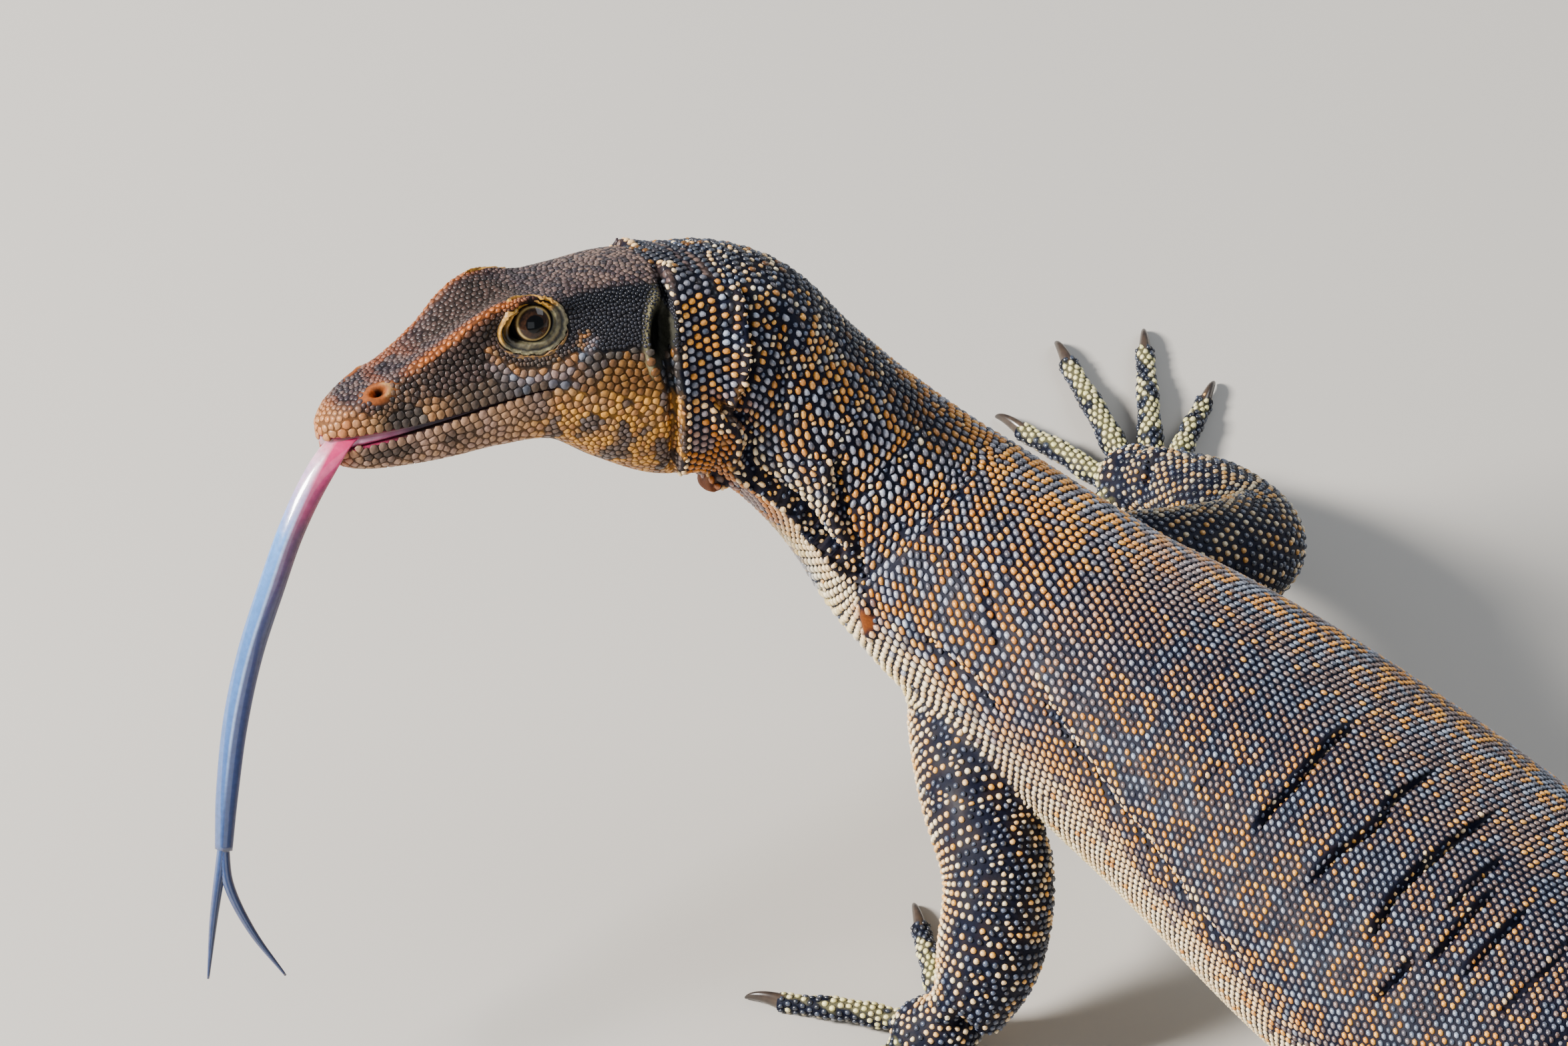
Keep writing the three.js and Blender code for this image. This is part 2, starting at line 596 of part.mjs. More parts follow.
// Rings of round section along a line between two distances, carried without twist
function roundRings(line, places, sides, shifts, grow = 0) {
  let across = null;
  return places.map((distance, i) => {
    const { point, direction, sizes } = station(line, distance);
    if (across === null) {
      across = new THREE.Vector3().crossVectors(direction, UP);
    }
    across.addScaledVector(direction, -across.dot(direction)).normalize();
    const rise = new THREE.Vector3().crossVectors(across, direction);
    const centre = point.addScaledVector(direction, shifts[i] ?? 0);
    return Array.from({ length: sides }, (_, j) => {
      const angle = (2 * Math.PI * j) / sides;
      const p = centre.clone()
        .addScaledVector(across, (sizes[0] + grow) * Math.cos(angle))
        .addScaledVector(rise, (sizes[0] + grow) * Math.sin(angle));
      p.z = Math.max(p.z, 0);
      return p;
    });
  });
}

// The palm or sole: a low rounded block from the wrist to the roots of the digits
function palmSolid(leg) {
  const { at, length, width, height } = leg.palm;
  const wrist = vector(leg.path[leg.path.length - 1]);
  const centre = vector(at);
  const way = centre.clone().sub(wrist).setZ(0).normalize();
  const across = new THREE.Vector3().crossVectors(way, UP);
  const ball = new THREE.SphereGeometry(1, 10, 7);
  return solid(moved(ball, (p) => {
    const spot = centre.clone()
      .addScaledVector(way, p.x * length * PALM_SHARE)
      .addScaledVector(across, p.y * width)
      .addScaledVector(UP, p.z * height);
    spot.z = Math.max(spot.z, 0);
    return spot;
  }));
}

// Middle line of one digit, from inside the palm over its knuckles down to its tip
function digitLine(leg, digit, place, outward) {
  const wayAt = (degrees) => {
    const heading = THREE.MathUtils.degToRad(degrees);
    return vector([-Math.cos(heading), Math.sin(heading) * outward, 0]);
  };
  const way = wayAt(digit.heading);
  const offset = (place - 2) * leg.palm.step;
  const root = vector(leg.palm.at).addScaledVector(wayAt(leg.palm.facing + 90), offset);
  if (place === 0) root.addScaledVector(wayAt(leg.palm.facing), -THUMB_SETBACK);
  root.z = digit.radius + DIGIT_ROOT.lift;
  const rows = DIGIT_SHAPE.map(([share, lift, radius]) => {
    const spot = root.clone().addScaledVector(way, digit.reach * share).setZ(digit.radius * lift);
    return [...spot.toArray(), digit.radius * radius];
  });
  const first = [...root.toArray(), digit.radius * DIGIT_ROOT.radius];
  return { line: measured([first, ...rows]), way };
}

// A claw: a hooked spike from the end of its digit, its tip just above the floor
function buildClaw(name, line, way, radius) {
  const tip = station(line, line[line.length - 1][0]);
  const root = tip.point.clone().addScaledVector(tip.direction, GAP);
  const reach = radius * CLAW.reach;
  const curve = new THREE.CubicBezierCurve3(
    root,
    root.clone().addScaledVector(tip.direction, reach * CLAW.start).setZ(root.z + radius * CLAW.startRise),
    root.clone().addScaledVector(way, reach * CLAW.bend).setZ(root.z + radius * CLAW.bendRise),
    root.clone().addScaledVector(way, reach).setZ(CLAW.tipHeight),
  );
  const rings = [];
  for (let i = 0; i <= CLAW.steps; i += 1) {
    const t = i / CLAW.steps;
    const point = curve.getPoint(t);
    const direction = i === 0 ? tip.direction : curve.getTangent(t);
    const across = new THREE.Vector3().crossVectors(direction, UP).normalize();
    const rise = new THREE.Vector3().crossVectors(across, direction);
    const thick = radius * (CLAW.root * (1 - t) ** CLAW.taper + CLAW.tip);
    rings.push(Array.from({ length: CLAW.sides }, (_, j) => {
      const angle = (2 * Math.PI * j) / CLAW.sides;
      const p = point.clone()
        .addScaledVector(across, thick * CLAW.narrow * Math.cos(angle))
        .addScaledVector(rise, thick * Math.sin(angle));
      p.z = Math.max(p.z, 0);
      return p;
    }));
  }
  add(name, loft(rings), 'claw');
}

function buildLeg(leg, outward, trunk) {
  const line = measured(leg.path);
  const joint = line[leg.bend][0];
  const ankle = line[line.length - 1][0];
  const upperPlaces = steps(0, joint, RING_STEP.leg);
  const lowerPlaces = steps(joint, ankle, RING_STEP.leg);
  const upperShift = { [upperPlaces.length - 1]: -GAP / 2 };
  const lowerShift = { 0: GAP / 2, [lowerPlaces.length - 1]: -GAP / 2 };
  const upper = solid(loft(roundRings(line, upperPlaces, LIMB_SIDES, upperShift)));
  add(leg.upper, largest(upper.subtract(trunk)), 'hide');
  add(leg.lower, loft(roundRings(line, lowerPlaces, LIMB_SIDES, lowerShift)), 'hide');

  const wristEnd = station(line, ankle);
  const below = wristEnd.point.clone().addScaledVector(wristEnd.direction, GAP / 2);
  const wristRadius = wristEnd.sizes[0];
  const stump = measured([
    [...below.toArray(), wristRadius],
    [...vector(leg.palm.at).lerp(below, STUMP.middle).toArray(), wristRadius * STUMP.middleRadius],
    [...leg.palm.at, leg.palm.height * STUMP.endRadius],
  ]);
  const stumpEnd = stump[stump.length - 1][0];
  const stumpRings = roundRings(stump, steps(0, stumpEnd, RING_STEP.stump), LIMB_SIDES, {});
  const cuff = roundRings(line, [ankle], LIMB_SIDES, { 0: GAP / 2 });
  let foot = solid(loft([...cuff, ...stumpRings.slice(1)])).add(palmSolid(leg));
  const claws = [];
  leg.digits.forEach((digit, i) => {
    const { line: toe, way } = digitLine(leg, digit, i, outward);
    const places = steps(0, toe[toe.length - 1][0], RING_STEP.digit);
    foot = foot.add(solid(loft(roundRings(toe, places, DIGIT_SIDES, {}))));
    claws.push([`claw_${leg.foot}_${i + 1}`, toe, way, digit.radius]);
  });
  const shinRoom = roundRings(line, lowerPlaces, LIMB_SIDES, { [lowerPlaces.length - 1]: GAP / 2 }, GAP);
  add(leg.foot, largest(foot.subtract(solid(loft(shinRoom)))), 'hide');
  for (const claw of claws) buildClaw(...claw);
}

buildTongue();
buildHead();
buildNeck();
buildTrunkAndTail();
const trunk = grownTrunk();
buildLeg(FORELEG_LEFT, -1, trunk);
buildLeg(FORELEG_RIGHT, 1, trunk);
buildLeg(HINDLEG_LEFT, -1, trunk);
buildLeg(HINDLEG_RIGHT, 1, trunk);

// The floor point under the middle of the whole animal becomes the origin
const extent = new THREE.Box3().setFromObject(model);
const middle = extent.getCenter(new THREE.Vector3());
model.position.set(-middle.x, -middle.y, 0);
model.updateMatrixWorld(true);

export default model;
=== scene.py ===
"""Water monitor lizard: the looks of a still, life-size model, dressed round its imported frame.

The animal stands with its neck raised, its head turned to its left and its forked tongue
hanging out. Shapes are worked out in millimetres from the same rails and stations as the
frame and written to Blender in metres. A reach is a distance back from the snout, and a turn
goes round the body from the crown, 0, over the left side, 0.25, to the belly, 0.5.
"""

import sys
import logging
import math
from dataclasses import dataclass, field, fields, replace
from enum import Enum
from typing import Iterable, Optional, Sequence

import bpy
import numpy as np
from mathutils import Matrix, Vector
from mathutils.bvhtree import BVHTree
from mathutils.kdtree import KDTree


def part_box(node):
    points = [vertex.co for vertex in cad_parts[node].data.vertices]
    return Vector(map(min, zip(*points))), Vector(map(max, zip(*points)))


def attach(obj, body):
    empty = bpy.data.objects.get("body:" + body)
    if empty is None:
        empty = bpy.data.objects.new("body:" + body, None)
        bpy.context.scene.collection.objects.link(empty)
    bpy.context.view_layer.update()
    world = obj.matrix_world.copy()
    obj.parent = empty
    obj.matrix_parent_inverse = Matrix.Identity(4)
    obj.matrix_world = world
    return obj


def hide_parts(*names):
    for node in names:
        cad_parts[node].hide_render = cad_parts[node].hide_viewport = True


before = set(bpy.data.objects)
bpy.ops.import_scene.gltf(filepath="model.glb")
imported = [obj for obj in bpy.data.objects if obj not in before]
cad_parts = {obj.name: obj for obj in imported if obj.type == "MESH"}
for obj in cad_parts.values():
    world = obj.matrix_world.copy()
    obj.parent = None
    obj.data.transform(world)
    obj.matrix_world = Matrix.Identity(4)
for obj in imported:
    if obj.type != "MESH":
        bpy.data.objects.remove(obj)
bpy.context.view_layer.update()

Array = np.ndarray
Piece = bpy.types.Object
Finish = bpy.types.Material
MM = 0.001
UP = np.array([0.0, 0.0, 1.0])
BODY = "root"
# The least height of skin over the floor, in millimetres
CLEARANCE = 0.15
log = logging.getLogger("monitor")


# Small helpers for numbers and colours


def unit(v: Array) -> Array:
    """Rows of an array of vectors, each brought to length one."""
    return v / np.maximum(np.linalg.norm(v, axis=-1, keepdims=True), 1e-9)


def smooth(edge_a: float, edge_b: float, x: Array) -> Array:
    """Zero before edge_a, one after edge_b and an even slope between them."""
    t = np.clip((x - edge_a) / (edge_b - edge_a), 0.0, 1.0)
    return t * t * (3 - 2 * t)


def bump(x: Array, centre: float, width: float) -> Array:
    """A soft bell of height one round a centre."""
    return np.exp(-(((x - centre) / width) ** 2))


def power(x: Array, size: float) -> Array:
    """A power of the size of each value, with the value's sign."""
    return np.sign(x) * np.abs(x) ** size


def lowness(turn: Array) -> Array:
    """How low places lie round the body: 0 on the back, 0.5 at the sides and 1 on the belly."""
    return 1 - np.abs(1 - 2 * (turn % 1.0))


def pairs(first: Array, second: Array) -> tuple[Array, Array]:
    """Every value of one list with every value of another, as two flat lists."""
    a, b = np.meshgrid(first, second, indexing="ij")
    return a.ravel(), b.ravel()


def turns_of(sides: int) -> Array:
    """Angles of the corners of a ring, in radians."""
    return 2 * np.pi * np.arange(sides) / sides


def linear(code: str) -> Array:
    """A screen colour such as c08040 as linear red, green and blue."""
    rgb = np.array([int(code[i : i + 2], 16) / 255 for i in (0, 2, 4)])
    return np.where(rgb <= 0.04045, rgb / 12.92, ((rgb + 0.055) / 1.055) ** 2.4)


def mix(a: Array, b: Array, share: Array) -> Array:
    """Colours a turned towards colours b by a share for each row."""
    share = np.clip(np.asarray(share, float), 0, 1)[..., None]
    return a * (1 - share) + b * share


def blend(first: Array, second: Array, share: Array) -> Array:
    """Two single colours mixed by a share for each row."""
    return mix(np.tile(first, (len(share), 1)), second, share)


def layered(tint: Array, *layers: tuple) -> Array:
    """Colours with others laid over them in turn.

    Args:
        tint: the first colours, one a row.
        layers: a colour, or a screen colour's code, and its share for each row.

    Returns:
        One colour a row.
    """
    for colour, share in layers:
        tint = mix(tint, linear(colour) if isinstance(colour, str) else colour, share)
    return tint


def lattice_hash(cells: Array, seed: int) -> Array:
    """Repeatable even numbers for the corners of a lattice.

    Args:
        cells: whole numbers, one row a corner.
        seed: number that sets the pattern.

    Returns:
        A number from 0 to 1 for each row.
    """
    primes = np.array([374761393, 668265263, 2246822519], np.int64)[: cells.shape[-1]]
    h = (cells.astype(np.int64) * primes).sum(-1) + np.int64(seed) * 3266489917
    h &= 0xFFFFFFFF
    h = ((h ^ (h >> 15)) * 2246822519) & 0xFFFFFFFF
    h = ((h ^ (h >> 13)) * 3266489917) & 0xFFFFFFFF
    return ((h ^ (h >> 16)) & 0xFFFFFFFF) / 4294967295.0


def cloud(points: Array, size: float, seed: int) -> Array:
    """Soft noise whose blotches are about one size across.

    Args:
        points: places in millimetres, one row each.
        size: width of a blotch in millimetres.
        seed: number that sets the pattern.

    Returns:
        A number from 0 to 1 for each row.
    """
    p = points / size
    base = np.floor(p)
    f = p - base
    u = f * f * (3 - 2 * f)
    total = np.zeros(len(points))
    for corner in np.ndindex(2, 2, 2):
        weight = np.ones(len(points))
        for axis, side in enumerate(corner):
            weight = weight * (u[:, axis] if side else 1 - u[:, axis])
        total += weight * lattice_hash(base + np.array(corner), seed)
    return total


# Smooth lines through stations, as the frame has them


def along(table: Array, places: Array) -> Array:
    """Values of a table's columns at places on a smooth line through its rows.

    Args:
        table: rows of stations, the first column being the place.
        places: where to read it.

    Returns:
        One row of values for each place.
    """
    last = len(table) - 1
    i = np.clip(np.searchsorted(table[1:last, 0], places, side="left"), 0, last - 1)
    a, b = table[i], table[i + 1]
    before, after = table[np.maximum(i - 1, 0)], table[np.minimum(i + 2, last)]
    span = b[:, :1] - a[:, :1]
    t = np.clip((places[:, None] - a[:, :1]) / span, 0, 1)
    share = t * t * (3 - 2 * t)
    slope_a = (b[:, 1:] - before[:, 1:]) / (b[:, :1] - before[:, :1])
    slope_b = (after[:, 1:] - a[:, 1:]) / (after[:, :1] - a[:, :1])
    bulge = span * t * (1 - t) * ((1 - t) * slope_a - t * slope_b)
    return (1 - share) * a[:, 1:] + share * b[:, 1:] + bulge


def measured(rows: Sequence[Sequence[float]]) -> Array:
    """Stations with their distance along the line put first.

    Args:
        rows: stations that start with x, y and z.

    Returns:
        The same rows with one more column in front.
    """
    table = np.array(rows, float)
    gaps = np.linalg.norm(np.diff(table[:, :3], axis=0), axis=1)
    return np.column_stack([np.concatenate([[0.0], np.cumsum(gaps)]), table])


def station(line: Array, places: Array) -> tuple[Array, Array, Array]:
    """Reads a measured line.

    Args:
        line: what measured gives.
        places: distances along it.

    Returns:
        Points, directions and sizes at the places.
    """
    step = 0.5
    here = along(line, places)
    way = along(line, places + step)[:, :3] - along(line, places - step)[:, :3]
    return here[:, :3], unit(way), here[:, 3:]


# The animal's shapes


class Hand(Enum):
    """The animal's left and its right."""

    LEFT = 1
    RIGHT = -1

    def called(self, part: str) -> str:
        """A part's name with the side put after it."""
        return f"{part}_{self.name.lower()}"


class Rail(Enum):
    """The head's rails, from the crown to the chin."""

    CROWN = 0
    BROW = 1
    TEMPLE = 2
    CHEEK = 3
    LIP = 4
    JAW = 5
    JAW_EDGE = 6
    CHIN = 7


@dataclass
class HeadShape:
    """The head: its place and axes, and rails of [distance back, half-width, height].

    Places within half_width and half_height of its axis and before rearmost belong to it.
    """

    snout: tuple = (16.2, -145.2, 139.0)
    facing: tuple = (-0.2553, -0.9601, 0.1137)
    rising: tuple = (-0.3731, 0.2063, 0.9045)
    length: float = 86.0
    snout_start: float = 1.8
    snout_rounding: float = 4.5
    narrowest: float = 0.12
    middle: float = -1.6
    mouth_corner: float = 52.0
    mouth_opening: float = 3.4
    jaw_closing: float = 1.5
    lip_gap: float = 0.3
    half_width: float = 24.0
    half_height: float = 32.0
    rearmost: float = -55.0
    crown: tuple = ((0, 0, 2.4), (4, 0, 4), (9.5, 0, 6.4), (19, 0, 9.6), (28, 0, 13.2), (36, 0, 16.8),
                    (45, 0, 19.3), (55, 0, 20.6), (70, 0, 22), (86, 0, 20.5))
    brow: tuple = ((0, 2.6, 2.8), (4, 3.2, 3.5), (9.5, 4.9, 5.7), (19, 6.6, 9.1), (29, 8.2, 14.2),
                   (36, 10.2, 18.8), (42, 11.4, 21.3), (47, 12, 21.1), (53, 11.8, 19.8), (62, 11, 20),
                   (74, 12.4, 19.6), (86, 14.4, 17))
    temple: tuple = ((0, 4.2, 1.2), (4, 5, 1.8), (9.5, 7.0, 4.2), (19, 8.8, 5.2), (29, 9.9, 8.2),
                     (37, 10.6, 12.4), (44, 11.2, 14.8), (52, 12.2, 14.6), (62, 14.2, 13.4),
                     (74, 16.4, 11.6), (86, 18.2, 8))
    cheek: tuple = ((0, 4.8, -0.4), (4, 5.6, 0), (9.5, 7.7, 1), (19, 9.3, 1.6), (29, 10.8, 2.8),
                    (40, 12.3, 5), (50, 13.7, 6.6), (62, 16, 6), (74, 17.6, 4.4), (86, 19.2, 0))
    lip: tuple = ((0, 4.8, -2.4), (4, 5.5, -2.4), (9.5, 7.5, -2.3), (19, 9.4, -2), (29, 10.9, -1.3),
                  (40, 12.6, 0), (52, 14.3, 0.6), (62, 16, -2), (74, 17.6, -4.5), (86, 19, -8))
    jaw: tuple = ((0, 4, -6), (4, 4.8, -6.4), (9.5, 6.9, -7.2), (19, 8.6, -7.6), (29, 9.9, -7.4),
                  (40, 11.2, -6.8), (52, 13.2, -7), (62, 14.6, -12), (74, 15.4, -17), (86, 16, -19))
    jaw_edge: tuple = ((0, 2.4, -8), (4, 3, -8.9), (9.5, 4.9, -10.6), (19, 6.4, -11.5), (29, 7.6, -11.6),
                       (40, 8.6, -11.2), (52, 9.9, -12.2), (62, 10.2, -18.6), (74, 9.8, -25), (86, 9, -28))
    chin: tuple = ((0, 0, -8.4), (4, 0, -9.6), (9.5, 0, -11.6), (19, 0, -12.7), (29, 0, -12.9),
                   (40, 0, -12.8), (52, 0, -14), (62, 0, -20.4), (74, 0, -27), (86, 0, -29.5))

    def __post_init__(self) -> None:
        """Works out the axes and gathers the rails."""
        self.tip = np.array(self.snout)
        self.forward = unit(np.array(self.facing))
        self.left = unit(np.cross(np.array(self.rising), self.forward))
        self.upward = np.cross(self.forward, self.left)
        self.rails = [np.array(getattr(self, rail.name.lower()), float) for rail in Rail]

    def point(self, back: Array, side: Array, up: Array) -> Array:
        """Places of the head from distances back, to the left and up."""
        back, side, up = (np.asarray(v, float)[..., None] for v in (back, side, up))
        return self.tip - self.forward * back + self.left * side + self.upward * up

    def own(self, points: Array) -> Array:
        """Distance back, to the left and up of places near the head."""
        d = points - self.tip
        return np.column_stack([-(d @ self.forward), d @ self.left, d @ self.upward])

    def way(self, back: float, side: float, up: float) -> Array:
        """The direction given by its parts back, left and up."""
        return unit(-self.forward * back + self.left * side + self.upward * up)

    def holds(self, places: Array, behind: float) -> Array:
        """Which places are on the head.

        Args:
            places: places on the animal.
            behind: how far back the head goes.

        Returns:
            True or False for each row.
        """
        back, side, up = self.own(places).T
        inside = (np.abs(side) < self.half_width) & (np.abs(up) < self.half_height)
        return (back < behind) & inside & (places[:, 1] < self.rearmost)

    def rail(self, which: Rail, back: Array) -> Array:
        """Half-widths and heights of a rail at distances back."""
        return along(self.rails[which.value], np.asarray(back, float))

    def section(self, back: Array, turn: Array) -> Array:
        """Half-widths and heights of the head's outline.

        Args:
            back: distances back from the snout.
            turn: places round the outline, 0 at the crown and 0.5 at the chin.

        Returns:
            One row of half-width and height for each place.
        """
        controls = np.stack([along(rail, back) for rail in self.rails], axis=1)
        mirror = controls[:, 6:0:-1] * np.array([-1.0, 1.0])
        ring = np.concatenate([controls, mirror], axis=1)
        count = ring.shape[1]
        spot = (turn % 1.0) * count
        k = np.floor(spot).astype(int)
        w = (spot - k)[:, None]
        rows = np.arange(len(back))
        p0, p1, p2, p3 = (ring[rows, (k + o) % count] for o in (-1, 0, 1, 2))
        slope_a, slope_b = 0.5 * (p2 - p0), 0.5 * (p3 - p1)
        out = (p1 + slope_a * w + (-3 * p1 + 3 * p2 - 2 * slope_a - slope_b) * w**2
               + (2 * p1 - 2 * p2 + slope_a + slope_b) * w**3)
        near = np.clip((back - self.snout_start) / self.snout_rounding, 0, 1)
        fill = np.maximum(self.narrowest, np.sqrt(1 - (1 - near) ** 2))
        out[:, 0] *= fill
        out[:, 1] = self.middle + (out[:, 1] - self.middle) * fill
        return out

    def surface(self, back: Array, turn: Array) -> Array:
        """Places on the head's surface."""
        sides = self.section(back, turn)
        return self.point(back, sides[:, 0], sides[:, 1])

    def lip_height(self, back: Array) -> Array:
        """Height of the upper lip's line."""
        return self.rail(Rail.LIP, back)[:, 1]

    def lower_lip_height(self, back: Array) -> Array:
        """Height of the lower lip's line."""
        opening = np.maximum(0, 1 - np.asarray(back, float) / self.mouth_corner)
        return self.lip_height(back) - self.lip_gap - self.mouth_opening * opening**self.jaw_closing


@dataclass
class BodyShape:
    """The whole body from snout to tail tip as one surface of a reach and a turn.

    Its stations are rows of [x, y, z, half-width, rise, drop, squareness above, squareness
    below, lean in degrees].
    """

    head: HeadShape = field(default_factory=HeadShape)
    reach_step: float = 0.6
    turn_step: float = 0.004
    axis_drop: float = 5.0
    neck_blend: float = 26.0
    neck_start: float = 5.0
    stations: tuple = (
        (34.7, -83.1, 127.0, 18.5, 24, 21, 2, 2, 24),
        (39.8, -64.0, 124.7, 19.5, 24.5, 24.5, 2, 2, 24),
        (45.2, -52.0, 120.3, 20.5, 22.8, 24.5, 2, 2, 21),
        (54.0, -42.6, 108.2, 21.5, 21, 22.5, 2, 2, 16),
        (64.5, -33.6, 92.6, 23.5, 22, 22.5, 2, 2, 13),
        (81.0, -26.4, 78.6, 27.5, 25.5, 26, 2, 2.2, 10),
        (116.8, -19.5, 70.0, 31.8, 28.5, 29, 2, 2.4, 8),
        (165.9, -11.5, 65.0, 38.8, 31, 31, 2, 2.5, 5),
        (220.7, -7.3, 60.0, 44.5, 31, 31, 2, 2.5, 2),
        (290.0, -2.0, 56.0, 44, 29, 30, 2, 2.5, 0),
        (350.0, 3.5, 52.5, 37, 27, 28, 2, 2.4, 0),
        (400.0, 6.0, 48.5, 27, 24, 23, 2, 2.2, 0),
        (440.0, 5.5, 40.0, 19.5, 20.5, 18.5, 1.9, 2.2, 0),
        (500.0, 0.5, 26.0, 14.5, 17, 15.5, 1.7, 2.2, 0),
        (560.0, -8.0, 12.6, 11.8, 16, 14.2, 1.6, 2.2, 0),
        (640.0, -24.0, 11.2, 10.2, 15, 12.8, 1.5, 2.2, 0),
        (740.0, -42.0, 9.8, 8.8, 13.6, 11.3, 1.5, 2.2, 0),
        (850.0, -42.0, 8.4, 7.2, 11.6, 9.7, 1.5, 2.2, 0),
        (950.0, -20.0, 6.9, 5.7, 9.4, 8, 1.5, 2.2, 0),
        (1050.0, 12.0, 5.1, 4.1, 7, 6, 1.5, 2.2, 0),
        (1130.0, 30.0, 3.5, 2.8, 4.8, 4.2, 1.5, 2.2, 0),
        (1196.0, 32.0, 2.0, 1.5, 2.7, 2.4, 1.6, 2.2, 0),
        (1206.0, 31.0, 1.3, 0.6, 1.1, 1.6, 2, 2, 0),
    )

    def __post_init__(self) -> None:
        """Measures the middle line."""
        self.spine = measured(self.stations)
        self.head_end = self.spine[1, 0]
        self.length = self.head.length + self.spine[-1, 0] - self.head_end

    def trunk_point(self, distance: Array, turn: Array) -> Array:
        """Places on the neck, trunk and tail.

        Args:
            distance: distances along the spine.
            turn: places round it.

        Returns:
            One place a row.
        """
        point, direction, sizes = station(self.spine, distance)
        level = unit(UP - direction * direction[:, 2:])
        across = np.cross(direction, level)
        lean = np.radians(sizes[:, 5:6])
        left = across * np.cos(lean) + level * np.sin(lean)
        up = level * np.cos(lean) - across * np.sin(lean)
        width, rise, drop, back_full, belly_full = sizes[:, :5].T
        sine, cosine = np.sin(2 * np.pi * turn), np.cos(2 * np.pi * turn)
        full = 2 / np.where(cosine > 0, back_full, belly_full)
        side = power(sine, full) * width
        height = power(cosine, full) * np.where(cosine > 0, rise, drop)
        share = smooth(0, self.neck_blend, distance - self.head_end)
        near = share < 1
        if near.any():
            nape = self.head.section(np.full(near.sum(), self.head.length), turn[near])
            own = share[near]
            side[near] = nape[:, 0] * (1 - own) + side[near] * own
            height[near] = (nape[:, 1] + self.axis_drop) * (1 - own) + height[near] * own
        out = point + left * side[:, None] + up * height[:, None]
        out[:, 2] = np.maximum(out[:, 2], 0)
        return out

    def plain(self, reach: Array, turn: Array) -> Array:
        """Places on the smooth body, without folds.

        Args:
            reach: distances back from the snout.
            turn: places round the body.

        Returns:
            One place a row.
        """
        out = np.empty((len(reach), 3))
        on_head = reach <= self.head.length
        on_body = reach >= self.head.length + self.neck_start
        between = ~on_head & ~on_body
        if on_head.any():
            out[on_head] = self.head.surface(reach[on_head], turn[on_head])
        if on_body.any():
            distance = self.head_end + reach[on_body] - self.head.length
            out[on_body] = self.trunk_point(distance, turn[on_body])
        if between.any():
            t = turn[between]
            share = ((reach[between] - self.head.length) / self.neck_start)[:, None]
            start = self.head.surface(np.full(len(t), self.head.length), t)
            end = self.trunk_point(np.full(len(t), self.head_end + self.neck_start), t)
            out[between] = start * (1 - share) + end * share
        return out

    def sideways(self, reach: Array, turn: Array) -> Array:
        """Short steps round the smooth body."""
        return self.plain(reach, turn + self.turn_step) - self.plain(reach, turn - self.turn_step)

    def normals(self, reach: Array, turn: Array) -> Array:
        """Directions straight out of the smooth body.

        Args:
            reach: distances back from the snout.
            turn: places round the body.

        Returns:
            One direction a row.
        """
        low = np.maximum(reach - self.reach_step, self.head.snout_start)
        high = np.minimum(reach + self.reach_step, self.length)
        down = self.plain(high, turn) - self.plain(low, turn)
        return unit(np.cross(self.sideways(reach, turn), down))


@dataclass(frozen=True)
class Fold:
    """A fold of skin along a path over the body.

    The skin rises to an edge on one side of the path and drops into a crease on the other.

    Attributes:
        path: rows of [reach, turn].
        height: how far the edge stands out.
        crease: depth of the crease.
        side: 1 where the raised skin lies left of the path seen from outside, -1 right, 0 both.
        width: width of the edge.
        run: how soon the raised skin goes back to its usual level.
        edge: share of pale scales along the edge, partly their own colour and partly a painted highlight
            where the edge catches the light.
        samples: number of places read along the path.
    """

    path: tuple
    height: float = 1.0
    crease: float = 1.2
    side: int = -1
    width: float = 1.2
    run: float = 5.0
    edge: float = 0.5
    samples: int = 80

    def mirrored(self, share: float) -> "Fold":
        """The same fold on the animal's other side, its height and depth multiplied by a share."""
        sizes = {"height": self.height * share, "crease": self.crease * share}
        return replace(self, path=tuple((r, 1 - t) for r, t in self.path), side=-self.side, **sizes)

    def profile(self, away: Array) -> Array:
        """The fold's section.

        Args:
            away: signed distances from the path.

        Returns:
            How far the skin stands out at each.
        """
        if self.side == 0:
            return self.height * bump(away, 0, self.width)
        rise = smooth(-0.4 * self.width, 0.5 * self.width, away)
        rise = rise * np.exp(-np.maximum(0, away - 0.5 * self.width) / self.run)
        return self.height * rise - self.crease * bump(away, -0.9 * self.width, 0.75 * self.width)

    def away(self, body: BodyShape, reach: Array, place: Array) -> tuple[Array, Array, Array]:
        """Finds the places near the fold.

        Args:
            body: the body that it runs over.
            reach: reaches of the places.
            place: the places themselves.

        Returns:
            Numbers of the near places, their signed distances, and 1 falling to 0 at the fold's ends.
        """
        path = np.array(self.path, float)
        share = np.linspace(0, 1, self.samples)
        spots = along(np.column_stack([np.linspace(0, 1, len(path)), path]), share)
        line = body.plain(spots[:, 0], spots[:, 1])
        left = unit(np.cross(body.normals(spots[:, 0], spots[:, 1]), np.gradient(line, axis=0)))
        room = 4 * self.width + 2 * self.run
        index = np.nonzero((reach > spots[:, 0].min() - room) & (reach < spots[:, 0].max() + room))[0]
        offset = place[index, None] - line[None]
        gaps = np.linalg.norm(offset, axis=-1)
        nearest = gaps.argmin(1)
        rows = np.arange(len(index))
        sign = np.sign((offset[rows, nearest] * left[nearest]).sum(1)) * (self.side or 1)
        ends = smooth(0, 0.15, share[nearest]) * smooth(1, 0.85, share[nearest])
        return index, gaps[rows, nearest] * sign, ends


